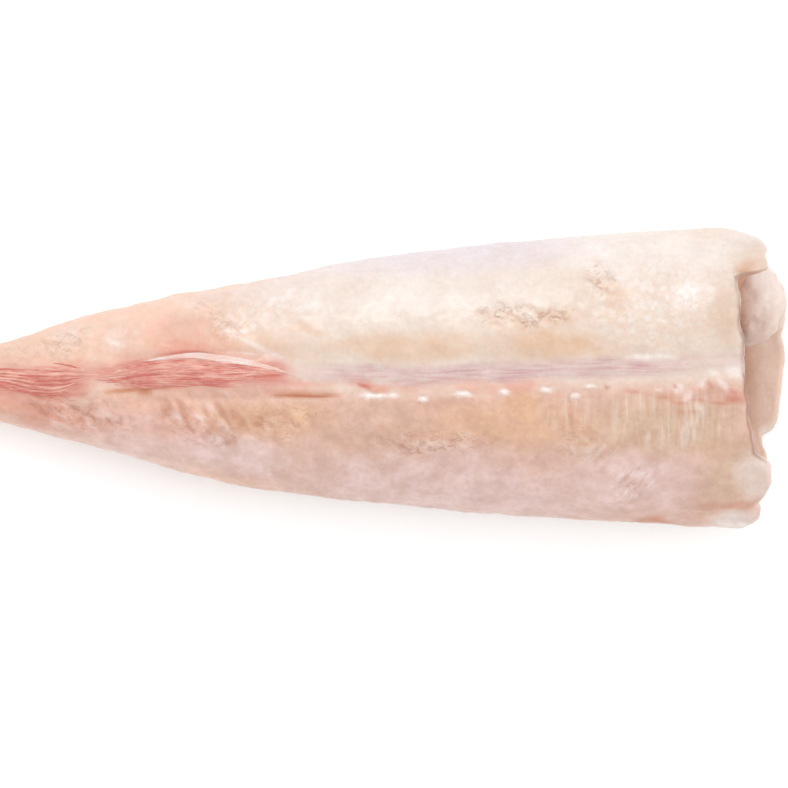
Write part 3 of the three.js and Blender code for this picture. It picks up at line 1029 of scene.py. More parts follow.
def loin_zones(grid):
    """Broad colours: right loin, thin end and soft patches. Some of them also tinge the cut's face."""
    back, outside = grid.back, grid.outside
    face, backbone = cut_face_zone(grid)
    flushed = face * (1 - backbone) * ramp(grid.fray + 0.5 * (grid.uneven - 0.5), *FLUSH_SPAN)
    right_loin = back * ramp(-grid.aside, *RIGHT_LOIN_SPAN)
    thin_end = (1 - ramp(grid.station, *THIN_END_FADE)) * lerp(0.6, 1, grid.uneven)
    crest = back * ramp(grid.ripple, *CREST_SPAN)
    return {
        "lower": np.maximum(right_loin, face * lerp(0.25, 0.65, grid.uneven)),
        "thin_end": outside * thin_end,
        "pearl": outside * thinned(grid, PEARL_PATCHES, least=0.7),
        # The ripples' crests are painted paler in the lavender colour, as painted light on them.
        "lavender": outside * np.maximum(thinned(grid, LAVENDER_PATCHES, least=0.65), 0.75 * crest),
        "tan": back * thinned(grid, TAN_PATCHES, least=0.55),
        "sand": outside * thinned(grid, SAND_PATCHES, least=0.7),
        "cream": np.maximum(back * thinned(grid, CREAM_PATCHES, least=0.6), 0.7 * backbone),
        "blush": np.maximum(back * thinned(grid, BLUSH_PATCHES, least=0.55), 0.35 * flushed),
    }


def tissue_zones(grid):
    """Membrane strip, muscle, white tissue with painted highlights, painted shade in troughs, blood and
    stains.
    """
    crest = ramp(grid.ripple, *CREST_SPAN)
    # Painted shade, in the creases' shade colour: faint over the ripple patches, deeper in the ripples'
    # troughs and in the wrinkles' furrows.
    shaded = 0.22 * patches(grid.places, RIPPLE_PATCHES)
    # White tissue, with painted highlights on the wet beads, on the ripples' crests and on the wrinkles'
    # ridges.
    milk_and_highlight = 0.75 * grid.beads + routes(grid.wavering, MILK_AND_HIGHLIGHT_LINES) + thinned(grid, MILK_AND_HIGHLIGHT_PATCHES, least=0.75)
    milk_and_highlight = milk_and_highlight + 0.22 * crest + 0.35 * grid.wrinkle * ramp(grid.ridge, *RIDGE_SPAN)
    trough = ramp(shaded - grid.ripple, *TROUGH_SPAN) + 0.6 * grid.wrinkle * ramp(-grid.ridge, *RIDGE_SPAN)
    stain = np.maximum(thinned(grid, STAIN_PATCHES, least=0.7), routes(grid.wavering, STAIN_LINES))
    return {
        "strip": grid.back * grid.strip * lerp(0.55, 1, grid.uneven),
        "milk_and_highlight": grid.back * np.clip(milk_and_highlight, 0, 1),
        "trough": grid.back * np.clip(trough, 0, 1),
        "muscle": grid.back * grid.muscle,
        "blood": grid.back * routes(grid.wavering, BLOOD_LINES),
        "stain": grid.outside * ramp(grid.up, *STAIN_UP) * stain,
    }


def rim_zone(grid):
    """Dark edge of the cut over the back, partly its own red-brown and partly painted shade: a frayed line
    round the lip, with a softer one inside it.
    """
    upper = ramp(grid.across, *RIM_SPAN) * (1 - ramp(grid.across, *RIM_FADE)) * ramp(grid.up, *RIM_UP)
    line = band(grid.into_cut, RIM_PLACE + RIM_FRAY * grid.fray, RIM_SPREAD)
    line = line * np.clip(0.6 + 0.35 * grid.fray, *RIM_LIMITS)
    line = np.maximum(line, 0.3 * band(grid.into_cut, *RIM_INSIDE_BAND))
    return upper * ramp(grid.into_cut, *RIM_START) * line


def cut_zones(grid):
    """Zones of the cut: the dark rim and slits, partly painted shade, the inside of the flaps with painted
    shade near the cut, and the hollow's painted shade.
    """
    # The nook is painted shade where the left roll begins.
    nook = band(grid.across, *NOOK_BAND) * ramp(grid.into_cut, *NOOK_START) * ramp(grid.up, *RIM_UP)
    # Painted shade on the flaps near the cut's wall, on the face beside the left roll and in the roll's nook.
    near_cut = grid.inner * (1 - ramp(grid.station, *NEAR_CUT_FADE)) * lerp(0.6, 1, grid.uneven)
    beside_roll = ramp(grid.into_cut, *ROLL_SIDE_START) * ramp(grid.across, *ROLL_SIDE_SPAN)
    beside_roll = 0.65 * beside_roll * ramp(grid.up, *ROLL_SIDE_UP)
    slits = grid.back * routes(grid.wavering, SLIT_LINES)
    return {
        # The rim: the cut's dark edge and the slits, partly their own colour and partly painted shade, and a
        # little of the nook's painted shade.
        "rim": np.clip(rim_zone(grid) + 0.1 * nook + slits, 0, 1),
        "flap": grid.inner,
        "lobe": grid.inner * grid.left_flap * lobe_paleness(grid.side),
        "gap": np.max([near_cut, beside_roll, 0.6 * nook, patches(grid.places, GAP_SHADE_PATCHES)], axis=0),
        # Painted shade in the gut hollow.
        "hollow": ramp(grid.into_cut, *HOLLOW_START),
    }


def finish_zones(grid):
    """Zones of fine relief and of wetness, which is least beside the groove."""
    dull = band(grid.aside, *DULL_BAND) * ramp(grid.station, *DULL_SPAN)
    wet = grid.beads + 0.1 * grid.strip + 0.3 * grid.muscle + DULLEST * dull
    return {
        "wrinkle": grid.back * grid.wrinkle,
        "grain": grid.back * patches(grid.places, GRAIN_PATCHES),
        "streaks": grid.back * patches(grid.plan, STREAK_PATCHES),
        "score": grid.back * patches(grid.plan, SCORE_PATCHES),
        "wet": grid.back * np.clip(wet, DULLEST, 1),
    }


def flesh_zones(grid):
    """Weight of each colour or finish zone at each point of the flesh."""
    return {**loin_zones(grid), **tissue_zones(grid), **cut_zones(grid), **finish_zones(grid)}


def flesh_unevenness(sizes, points):
    """Broad lumps and small dimples of the flesh: layered noise of two sizes."""
    lumps = sizes.lumps * layered_noise(points * LUMP_STRETCH, LUMP_SIZE, LUMP_SEED)
    return lumps, sizes.dimples * layered_noise(points, DIMPLE_SIZE, DIMPLE_SEED)


def tail_surface(sizes):
    """The tail with its relief, and its zones: the smooth surface moved along its normals by lumps, dimples,
    wrinkles, beads, ripples and creases, and left flat underneath."""
    grid = FleshGrid(sizes)
    zones = flesh_zones(grid)
    rough = np.maximum(zones["grain"], zones["wrinkle"])
    calm = 1 - CREAM_CALM * zones["cream"] * (1 - rough)
    lumps, dimples = flesh_unevenness(sizes, grid.points)
    creases = routes(grid.plan, CREASE_LINES) + routes(grid.plan, SLIT_LINES)
    rise = lumps * calm + dimples * (calm + ROUGH_DIMPLES * rough)
    rise += sizes.wrinkle * zones["wrinkle"] * grid.ridge
    rise += grid.back * (sizes.bead * grid.beads + sizes.ripple * grid.ripple - sizes.crease * creases)
    rise *= 1 - ramp(-grid.up, *UNDERSIDE_SPAN) * (1 - ramp(grid.into_cut, *UNDERSIDE_FADE))
    return grid.points + grid_normals(grid.points) * rise[..., None], zones


def to_frame(points):
    """Moves the surface from stations and sides into the CAD's frame: its box's end, middle and floor."""
    left, right = half_width(CUT_STATION, 1), half_width(CUT_STATION, -1)
    return points + np.array([CAD_BOX[1][0] - FLAP_END, (right - left) / 2, -BELLY_FLAT])


# Meshes


def mesh_object(name, vertices, faces):
    """A smooth-shaded mesh object at the origin, from a vertex array and lists of face index arrays."""
    mesh = bpy.data.meshes.new(name)
    corners = np.concatenate([f.ravel() for f in faces])
    totals = np.concatenate([np.full(len(f), f.shape[1]) for f in faces])
    mesh.vertices.add(len(vertices))
    mesh.vertices.foreach_set("co", vertices.astype(np.float32).ravel())
    mesh.loops.add(len(corners))
    mesh.loops.foreach_set("vertex_index", corners.astype(np.int32))
    mesh.polygons.add(len(totals))
    mesh.polygons.foreach_set("loop_start", (np.cumsum(totals) - totals).astype(np.int32))
    mesh.polygons.foreach_set("use_smooth", np.ones(len(totals), bool))
    mesh.update(calc_edges=True)
    mesh.validate()
    piece = bpy.data.objects.new(name, mesh)
    bpy.context.scene.collection.objects.link(piece)
    return piece


def add_weights(piece, name, values):
    """Stores one number for each vertex under a name that a material can read."""
    attribute = piece.data.attributes.new(name, "FLOAT", "POINT")
    attribute.data.foreach_set("value", values.astype(np.float32).ravel())


def end_means(grid):
    """Means of a grid's first and last rows."""
    return np.stack([grid[0].mean(axis=0), grid[-1].mean(axis=0)])


def add_zones(piece, zones):
    """Stores the zones' weights on a capped piece, with the mean of each end row at its pole."""
    for name, values in zones.items():
        add_weights(piece, name, np.concatenate([values.ravel(), end_means(values)]))


def ring_faces(rows, columns):
    """Quads between neighbouring rows of a grid that closes on itself across its columns."""
    index = np.arange(rows * columns).reshape(rows, columns)
    near, far = index[:-1], index[1:]
    quads = np.stack([near, np.roll(near, -1, axis=1), np.roll(far, -1, axis=1), far], axis=-1)
    return quads.reshape(-1, 4)


def capped_rings(name, points, poles):
    """A closed mesh object from rows of rings, with the rings at both ends drawn together in a pole."""
    rows, columns = points.shape[:2]
    ring = np.arange(columns)
    beside = np.roll(ring, -1)
    last = (rows - 1) * columns
    first_fan = np.stack([np.full(columns, rows * columns), beside, ring], axis=-1)
    last_fan = np.stack([np.full(columns, rows * columns + 1), last + ring, last + beside], axis=-1)
    vertices = to_frame(np.concatenate([points.reshape(-1, 3), poles]))
    return mesh_object(name, vertices, [ring_faces(rows, columns), first_fan, last_fan])


SLOPE_STEP = 0.2 * MM


def on_back(sizes, paths):
    """Places on the back, and its normals there from its two slopes, for routes of stations and sides."""
    station, side = paths[..., 0], paths[..., 1]
    level = back_height(sizes, station, side)
    slope_x = (back_height(sizes, station + SLOPE_STEP, side) - level) / SLOPE_STEP
    slope_y = (back_height(sizes, station, side + SLOPE_STEP) - level) / SLOPE_STEP
    normal = np.stack([-slope_x, -slope_y, np.ones_like(level)], axis=-1)
    normal /= np.linalg.norm(normal, axis=-1, keepdims=True)
    centre = np.stack([station, side, level], axis=-1)
    return centre + normal * sum(flesh_unevenness(sizes, centre))[..., None], normal


# Strands: sides of the oval section, thickness share of the tips, and how the tone varies along them.
STRAND_SIDES = 10
STRAND_TIP = 0.12
TONE_STRETCH = (0.25, 1.5)
TONE_SIZE = 2.4 * MM
TONE_SEED = 97
TONE_VARIATION = 0.35
TONE_AT_ENDS = 0.5
TONE_END_POWER = 6


def strand_object(name, centre, normal, width, rise, tones, sink):
    """Strands on a surface: an oval section carried along rows of places, with a share of its rise sunk in,
    and tapering to both ends by the root of a half sine. Tones are its paleness along its length."""
    strands, steps = centre.shape[:2]
    taper = lerp(STRAND_TIP, 1, np.sqrt(np.sin(np.pi * np.linspace(0, 1, steps))))
    lateral = np.cross(normal, np.gradient(centre, axis=1))
    lateral /= np.linalg.norm(lateral, axis=-1, keepdims=True)
    centre = centre + normal * (rise * (1 - 2 * sink) * taper[None, :, None])
    turn = 2 * np.pi * np.arange(STRAND_SIDES) / STRAND_SIDES
    wide = (width * taper)[..., None] * np.cos(turn)
    high = (rise * taper)[..., None] * np.sin(turn)
    points = centre[:, :, None] + lateral[:, :, None] * wide[..., None] + normal[:, :, None] * high[..., None]
    quads = ring_faces(steps, STRAND_SIDES)[:, ::-1]
    offsets = steps * STRAND_SIDES * np.arange(strands)
    first = np.arange(STRAND_SIDES)
    caps = np.stack([first, first[::-1] + (steps - 1) * STRAND_SIDES])
    faces = [(offsets[:, None, None] + part).reshape(-1, part.shape[1]) for part in (quads, caps)]
    piece = mesh_object(name, to_frame(points.reshape(-1, 3)), faces)
    add_weights(piece, "tone", np.repeat(tones, STRAND_SIDES))
    return piece


def strand_tones(own, paths):
    """Paleness along each strand: its own, varied by noise stretched along it, and higher at both ends."""
    flat = np.concatenate([paths * TONE_STRETCH, 0 * paths[..., :1]], axis=-1)
    ends = TONE_AT_ENDS * np.abs(np.linspace(-1, 1, paths.shape[1])) ** TONE_END_POWER
    return own[:, None] + TONE_VARIATION * layered_noise(flat, TONE_SIZE, TONE_SEED) + ends


def place_on_tail(piece, material):
    """Gives a piece its material, and makes it part of the fish."""
    piece.data.materials.append(material)
    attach(piece, BODY)


# Shader building


def put(tree, kind, inputs=None, **settings):
    """Adds a node, sets it up, and fills its inputs from values or from other nodes' sockets."""
    node = tree.nodes.new(kind)
    for name, value in settings.items():
        setattr(node, name, value)
    for name, value in (inputs or {}).items():
        if isinstance(value, bpy.types.NodeSocket):
            tree.links.new(value, node.inputs[name])
        else:
            node.inputs[name].default_value = value
    return node


def calc(tree, operation, first, second=0.0, third=0.0, clamp=False):
    """Result of one Math node."""
    inputs = {0: first, 1: second, 2: third}
    return put(tree, "ShaderNodeMath", inputs, operation=operation, use_clamp=clamp).outputs[0]


def mix(tree, factor, first, second, blend="MIX"):
    """Result of one colour Mix node."""
    inputs = {0: factor, 6: first, 7: second}
    return put(tree, "ShaderNodeMix", inputs, data_type="RGBA", blend_type=blend).outputs[2]


def remap(tree, value, low, high, to_low=0.0, to_high=1.0):
    """Smooth remap of a value from one range to another."""
    inputs = {"Value": value, "From Min": low, "From Max": high, "To Min": to_low, "To Max": to_high}
    return put(tree, "ShaderNodeMapRange", inputs, interpolation_type="SMOOTHSTEP").outputs["Result"]


def weight(tree, name):
    """A zone's weight at the surface."""
    return put(tree, "ShaderNodeAttribute", attribute_name=name).outputs["Fac"]


def rgba(colour):
    """A colour with full opacity."""
    return (*colour, 1.0)


def new_group(name, inputs, outputs):
    """An empty shader node group with float inputs (or a vector one named Position) and float outputs."""
    group = bpy.data.node_groups.new(name, "ShaderNodeTree")
    for socket, default in inputs.items():
        kind = "NodeSocketVector" if socket == "Position" else "NodeSocketFloat"
        made = group.interface.new_socket(socket, in_out="INPUT", socket_type=kind)
        if default is not None:
            made.default_value = default
    for socket in outputs:
        group.interface.new_socket(socket, in_out="OUTPUT", socket_type="NodeSocketFloat")
    return group, group.nodes.new("NodeGroupInput").outputs, group.nodes.new("NodeGroupOutput").inputs


def noise_value(tree, position, scale, detail=3.0, roughness=0.55):
    """Value of one Noise texture."""
    inputs = {"Vector": position, "Scale": scale, "Detail": detail, "Roughness": roughness}
    return put(tree, "ShaderNodeTexNoise", inputs).outputs["Fac"]


def uneven_tone_group():
    """Cloudy tone from about -1 to 1: broad mottling with a finer layer in it."""
    group, given, result = new_group("Uneven tone", {"Position": None, "Scale": 90.0}, ["Tone"])
    broad = noise_value(group, given["Position"], given["Scale"])
    fine = noise_value(group, given["Position"], calc(group, "MULTIPLY", given["Scale"], 4.3), 4.0, 0.6)
    both = calc(group, "MULTIPLY_ADD", fine, 0.4, broad)
    group.links.new(calc(group, "MULTIPLY_ADD", both, 2.4, -1.68), result["Tone"])
    return group


def crease_group():
    """Short scratchy creases: the edges of stretched cells, bent by noise and broken up by another noise."""
    group, given, result = new_group("Creases", {"Position": None, "Scale": 260.0, "Amount": 1.0}, ["Crease"])
    position = given["Position"]
    waver = put(group, "ShaderNodeTexNoise", {"Vector": position, "Scale": 160.0}).outputs["Color"]
    bend = {0: waver, 1: (0.011, 0.011, 0.011), 2: position}
    bent = put(group, "ShaderNodeVectorMath", bend, operation="MULTIPLY_ADD").outputs[0]
    slant = {"Vector": bent, "Rotation": (0, 0, 0.4), "Scale": (0.42, 1, 1)}
    cells = {"Vector": put(group, "ShaderNodeMapping", slant).outputs["Vector"], "Scale": given["Scale"]}
    edge = put(group, "ShaderNodeTexVoronoi", cells, feature="DISTANCE_TO_EDGE").outputs["Distance"]
    thin = remap(group, edge, 0.0, 0.2, 1.0, 0.0)
    broken = remap(group, noise_value(group, position, 330.0), 0.46, 0.6)
    crease = calc(group, "MULTIPLY", calc(group, "MULTIPLY", thin, broken), given["Amount"], clamp=True)
    group.links.new(crease, result["Crease"])
    return group


def fibre_group():
    """Fine fibres along X, from 0 to 1: noise stretched thin."""
    group, given, result = new_group("Fibres", {"Position": None, "Scale": 900.0}, ["Fibre"])
    stretch = {"Vector": given["Position"], "Scale": (0.07, 1, 1)}
    stretched = put(group, "ShaderNodeMapping", stretch).outputs["Vector"]
    fibre = remap(group, noise_value(group, stretched, given["Scale"], 2.0), 0.3, 0.7)
    group.links.new(fibre, result["Fibre"])
    return group


def granule_group():
    """Small rounded lumps, from 0 between them to 1 on top: round cells of two sizes."""
    group, given, result = new_group("Granules", {"Position": None, "Scale": 330.0}, ["Granule"])
    height = 0.0
    for size, share in ((1.0, 0.65), (2.3, 0.35)):
        cells = {"Vector": given["Position"], "Scale": calc(group, "MULTIPLY", given["Scale"], size)}
        distance = put(group, "ShaderNodeTexVoronoi", cells, feature="F1").outputs["Distance"]
        height = calc(group, "MULTIPLY_ADD", remap(group, distance, 0.1, 0.65, 1.0, 0.0), share, height)
    group.links.new(height, result["Granule"])
    return group


SHARED_GROUPS = {
    "Uneven tone": uneven_tone_group,
    "Creases": crease_group,
    "Fibres": fibre_group,
    "Granules": granule_group,
}


def use_group(tree, name, **inputs):
    """Places a shared group in a material, built when it is first asked for, and returns its output."""
    group = bpy.data.node_groups.get(name) or SHARED_GROUPS[name]()
    return put(tree, "ShaderNodeGroup", inputs, node_tree=group).outputs[0]


MOIST_SETTINGS = {
    "Subsurface Weight": 0.15,
    "Subsurface Radius": (1.0, 0.45, 0.3),
    "IOR": 1.4,
    "Coat Roughness": 0.18,
}


def moist_material(name, depth):
    """A new material with a moist shader that light enters to a depth, its tree and object coordinates."""
    material = bpy.data.materials.new(name)
    material.use_nodes = True
    tree = material.node_tree
    shader = tree.nodes["Principled BSDF"]
    shader.subsurface_method = "RANDOM_WALK"
    for socket, value in {**MOIST_SETTINGS, "Subsurface Scale": depth}.items():
        shader.inputs[socket].default_value = value
    return material, tree, shader, put(tree, "ShaderNodeTexCoord").outputs["Object"]


def turned(tree, position, degrees):
    """Object coordinates turned about Z."""
    inputs = {"Vector": position, "Rotation": (0, 0, math.radians(degrees))}
    return put(tree, "ShaderNodeMapping", inputs).outputs["Vector"]


def bump(tree, height, distance, strength):
    """Normal of a relief that the surface itself is too coarse for."""
    inputs = {"Height": height, "Distance": distance, "Strength": strength}
    return put(tree, "ShaderNodeBump", inputs).outputs["Normal"]


# Zones in the order that their colours are laid over one another, and the two whose colours have other names.
FLESH_LAYERS = (
    "lower", "thin_end", "pearl", "lavender", "tan", "sand", "cream", "blush", "strip",
    "muscle", "milk_and_highlight", "blood", "stain", "flap", "lobe", "gap", "hollow", "rim",
)
ZONE_COLOURS = {"lower": "rose", "thin_end": "peach"}

# Lines across the flesh: zone, turn in degrees and strength.
FLESH_LINES = (("streaks", 90, 0.3), ("score", -55, 0.4))

# Mottling: factors of the colour where it is dull and where it is bright.
BROAD_MOTTLING = (0.865, 0.825, 0.805), (0.985, 0.995, 1.005)
BLOTCHES = (0.92, 0.885, 0.86), (1.04, 1.05, 1.06)
SPECKLES = (0.97, 0.955, 0.945), (1.02, 1.025, 1.03)


def zone_share(tree, pattern, zone, strength):
    """Strength of a pattern inside one zone."""
    return calc(tree, "MULTIPLY", calc(tree, "MULTIPLY", pattern, weight(tree, zone)), strength)


class FleshPatterns:
    """Patterns that the colour and the relief of the flesh share."""

    def __init__(self, tree, position):
        self.tone = use_group(tree, "Uneven tone", Position=position, Scale=80.0)
        self.blotch = use_group(tree, "Uneven tone", Position=position, Scale=170.0)
        self.speckle = use_group(tree, "Uneven tone", Position=position, Scale=560.0)
        wrinkle = weight(tree, "wrinkle")
        self.crease = use_group(tree, "Creases", Position=position, Scale=300.0, Amount=wrinkle)
        self.fibre = use_group(tree, "Fibres", Position=position, Scale=1000.0)
        self.granule = use_group(tree, "Granules", Position=position, Scale=300.0)
        self.pale_lines, self.dark_lines = [], []
        for zone, degrees, strength in FLESH_LINES:
            lines = use_group(tree, "Fibres", Position=turned(tree, position, degrees), Scale=420.0)
            self.pale_lines.append(zone_share(tree, remap(tree, lines, 0.6, 1.0), zone, strength))
            self.dark_lines.append(zone_share(tree, remap(tree, lines, 0.4, 0.0), zone, strength))


def flesh_colour(tree, colours, patterns):
    """Zone colours over ivory with cloudy edges, then fibres, lines, painted shade in troughs and creases,
    and granules with painted highlights on top and shade between.
    """
    edge = calc(tree, "MULTIPLY_ADD", patterns.tone, 0.2, 1.0)
    layers = []
    for zone in FLESH_LAYERS:
        share = calc(tree, "MULTIPLY", weight(tree, zone), edge, clamp=True)
        layers.append((share, getattr(colours, ZONE_COLOURS.get(zone, zone))))
    layers.append((zone_share(tree, patterns.fibre, "muscle", 0.55), colours.muscle_pale))
    layers.append((zone_share(tree, patterns.fibre, "strip", 0.5), colours.cream))
    for pale, dark in zip(patterns.pale_lines, patterns.dark_lines):
        layers += [(pale, colours.milk_and_highlight), (dark, colours.crease)]
    layers.append((calc(tree, "MULTIPLY", weight(tree, "trough"), 0.55), colours.crease))
    # Granules: painted highlights on their tops and painted shade between them.
    layers.append((zone_share(tree, remap(tree, patterns.granule, 0.45, 0.9), "grain", 0.16), colours.milk_and_highlight))
    layers.append((zone_share(tree, remap(tree, patterns.granule, 0.45, 0.1), "grain", 0.24), colours.tan))
    layers.append((calc(tree, "MULTIPLY", patterns.crease, 0.42), colours.crease))
    colour = rgba(colours.ivory)
    for share, over in layers:
        colour = mix(tree, share, colour, rgba(over))
    return colour


def mottled(tree, colour, tone, dull, bright):
    """Colour that is darkened and lightened by a cloudy tone."""
    factor = mix(tree, remap(tree, tone, -0.6, 0.6), rgba(dull), rgba(bright))
    return mix(tree, 1.0, colour, factor, blend="MULTIPLY")


def mottled_flesh(tree, colour, patterns):
    """Flesh colour with mottling of three sizes, calmer on the left loin and under the membranes."""
    lower = weight(tree, "lower")
    milky = calc(tree, "MAXIMUM", weight(tree, "cream"), weight(tree, "pearl"))
    smooth = calc(tree, "MAXIMUM", milky, calc(tree, "SUBTRACT", 1.0, lower))
    calm_tone = calc(tree, "MULTIPLY", patterns.tone, calc(tree, "MULTIPLY_ADD", smooth, -0.5, 1.0))
    colour = mottled(tree, colour, calm_tone, *BROAD_MOTTLING)
    patchy = mottled(tree, colour, patterns.blotch, *BLOTCHES)
    colour = mix(tree, calc(tree, "MULTIPLY_ADD", lower, 0.7, 0.2), colour, patchy)
    return mottled(tree, colour, patterns.speckle, *SPECKLES)


def flesh_height(tree, position, patterns):
    """Height of the fine relief: noise that is fainter on cream, granules, creases, pale lines and fibres."""
    strength = calc(tree, "MULTIPLY_ADD", weight(tree, "cream"), -0.35, 0.5)
    height = calc(tree, "MULTIPLY", noise_value(tree, position, 520.0), strength)
    height = calc(tree, "MULTIPLY_ADD", patterns.crease, -1.2, height)
    granules = zone_share(tree, patterns.granule, "grain", 0.6)
    fibres = zone_share(tree, patterns.fibre, "muscle", 0.5)
    for added in (granules, *patterns.pale_lines, fibres):
        height = calc(tree, "ADD", height, added)
    return height


def flesh_material(colours):
    """Raw flesh under a wet film: mottled zone colours and fine relief, glossier where it is wet."""
    material, tree, shader, position = moist_material("monkfish_flesh", 3 * MM)
    patterns = FleshPatterns(tree, position)
    wet = weight(tree, "wet")
    dry = calc(tree, "MULTIPLY_ADD", patterns.tone, 0.06, 0.5)
    colour = mottled_flesh(tree, flesh_colour(tree, colours, patterns), patterns)
    height = flesh_height(tree, position, patterns)
    tree.links.new(colour, shader.inputs["Base Color"])
    tree.links.new(calc(tree, "MULTIPLY_ADD", wet, -0.2, dry, clamp=True), shader.inputs["Roughness"])
    tree.links.new(calc(tree, "MULTIPLY_ADD", wet, 0.7, 0.13, clamp=True), shader.inputs["Coat Weight"])
    tree.links.new(bump(tree, height, 0.5 * MM, 0.7), shader.inputs["Normal"])
    return material


def shared_flesh(colours):
    """The flesh's material, built the first time that it is asked for."""
    return bpy.data.materials.get("monkfish_flesh") or flesh_material(colours)


def strand_material(name, dark, pale, fibre_mix):
    """Moist strands between two colours by each strand's own tone, fine fibres and a little mottling."""
    material, tree, shader, position = moist_material(name, 2 * MM)
    shader.inputs["Coat Weight"].default_value = 0.2
    tone = use_group(tree, "Uneven tone", Position=position, Scale=260.0)
    fibre = use_group(tree, "Fibres", Position=position, Scale=1500.0)
    share = calc(tree, "MULTIPLY_ADD", calc(tree, "SUBTRACT", fibre, 0.5), fibre_mix, weight(tree, "tone"))
    share = calc(tree, "MULTIPLY_ADD", tone, 0.2, share, clamp=True)
    tree.links.new(mix(tree, share, rgba(dark), rgba(pale)), shader.inputs["Base Color"])
    tree.links.new(calc(tree, "MULTIPLY_ADD", tone, 0.08, 0.34), shader.inputs["Roughness"])
    tree.links.new(bump(tree, fibre, 0.2 * MM, 0.5), shader.inputs["Normal"])
    return material


# Strand routes


# The thin end's bundle from left to right: each strand's lane, start and end station in millimetres, share of
# the full strand width, and paleness.
BUNDLE_STRANDS = np.array([
    (1.5, 54, 66, 0.45, 0.1),
    (1.2, 46, 69, 0.7, 0.6),
    (0.95, 1, 67, 0.5, 0.05),
    (0.8, 3, 62, 0.35, 0.5),
    (0.64, 2, 72, 0.85, 0.7),
    (0.46, 2, 64, 0.35, 0.1),
    (0.31, 1, 70, 0.6, 0.45),
    (0.14, 2, 66, 0.4, 0.0),
    (-0.04, 1, 68, 0.55, 0.6),
    (-0.2, 3, 60, 0.35, 0.05),
    (-0.37, 2, 63, 0.8, 0.55),
    (-0.55, 1, 58, 0.4, 0.0),
    (-0.73, 1, 60, 0.8, 0.4),
    (-0.97, 2, 65, 0.7, 0.05),
])
BUNDLE_STATION = MM * np.array([0, 34, 47, 57, 70])
BUNDLE_MIDDLE = MM * np.array([0.8, 1.0, -0.7, -0.9, 1.2])
BUNDLE_REACH = MM * np.array([2.8, 3.2, 4.6, 4.4, 1.4])
BUNDLE_WAVER = 0.17 * MM
BUNDLE_WAVES = (5 * MM, 1.9 * MM)

# The spindle: its middle and its lanes' reach at a few stations, how its strands vary, and the share of a
# muscle strand that is sunk in.
SPINDLE_STRANDS = 15
SPINDLE_STATION = MM * np.array([68, 80, 90, 109, 124, 133, 143])
SPINDLE_MIDDLE = MM * np.array([-0.2, 0.8, 2.0, 2.7, 2.2, 2.5, 1.4])
SPINDLE_REACH = MM * np.array([1.2, 3.6, 4.6, 5.0, 4.2, 2.2, 0.6])
SPINDLE_LANE_JITTER = (-0.05, 0.05)
SPINDLE_START = 70 * MM
SPINDLE_START_BOW = 10 * MM
SPINDLE_START_JITTER = 7 * MM
SPINDLE_END = 134 * MM
SPINDLE_END_SLANT = 8 * MM
SPINDLE_END_JITTER = 4 * MM
SPINDLE_WAVER = 0.25 * MM
SPINDLE_WAVES = (6 * MM, 2.2 * MM)
SPINDLE_TONES = (0.25, 0.6)
SPINDLE_WIDTHS = (0.5, 0.9)
MUSCLE_SINK = 0.68

# The tendon: places along it, how its strands vary, and the whitest place on it.
TENDON_ROUTE = MM * np.array([
    (88, 7.0),
    (97.5, 8.2),
    (109.5, 8.9),
    (115, 8.1),
    (125.5, 6.6),
    (136, 4.2),
    (145, 1.4),
])
TENDON_STRANDS = 5
TENDON_START_JITTER = 6 * MM
TENDON_END_JITTER = 9 * MM
TENDON_SPREAD = 0.75
TENDON_TONES = (0.02, 0.28)
TENDON_WIDTHS = (0.35, 0.6)
TENDON_RISE = 0.4
TENDON_SINK = 0.5
TENDON_WHITE_BAND = (125.5 * MM, 4 * MM)
TENDON_WHITENESS = 0.45


def waver(station, phase, reach, waves):
    """Sideways waver of a strand: a long wave with a weaker short one on it."""
    long, short = waves
    return reach * (np.sin(station / long + phase) + 0.6 * np.sin(station / short + 3 * phase))


def bundle_paths(random, steps=70):
    """Routes of the thin end's bundle: lanes across a band that narrows to a point, each a little wavy."""
    lane, start, end = BUNDLE_STRANDS[:, :3].T[:, :, None]
    station = MM * lerp(start, end, np.linspace(0, 1, steps))
    middle = curve(BUNDLE_STATION, BUNDLE_MIDDLE, station)
    side = middle + lane * curve(BUNDLE_STATION, BUNDLE_REACH, station)
    phase = random.uniform(0, 2 * np.pi, lane.shape)
    return np.stack([station, side + waver(station, phase, BUNDLE_WAVER, BUNDLE_WAVES)], axis=-1)


def spindle_paths(random, steps=60):
    """Routes of the spindle muscle: lanes of a lens, each a little wavy; those on the right end sooner."""
    column = (SPINDLE_STRANDS, 1)
    lane = np.linspace(-1, 1, SPINDLE_STRANDS)[:, None] + random.uniform(*SPINDLE_LANE_JITTER, column)
    start = SPINDLE_START + SPINDLE_START_BOW * lane**2 + random.uniform(0, SPINDLE_START_JITTER, column)
    end = SPINDLE_END + SPINDLE_END_SLANT * lane - random.uniform(0, SPINDLE_END_JITTER, column)
    station = lerp(start, end, np.linspace(0, 1, steps))
    middle = curve(SPINDLE_STATION, SPINDLE_MIDDLE, station)
    side = middle + lane * curve(SPINDLE_STATION, SPINDLE_REACH, station)
    phase = random.uniform(0, 2 * np.pi, column)
    return np.stack([station, side + waver(station, phase, SPINDLE_WAVER, SPINDLE_WAVES)], axis=-1)


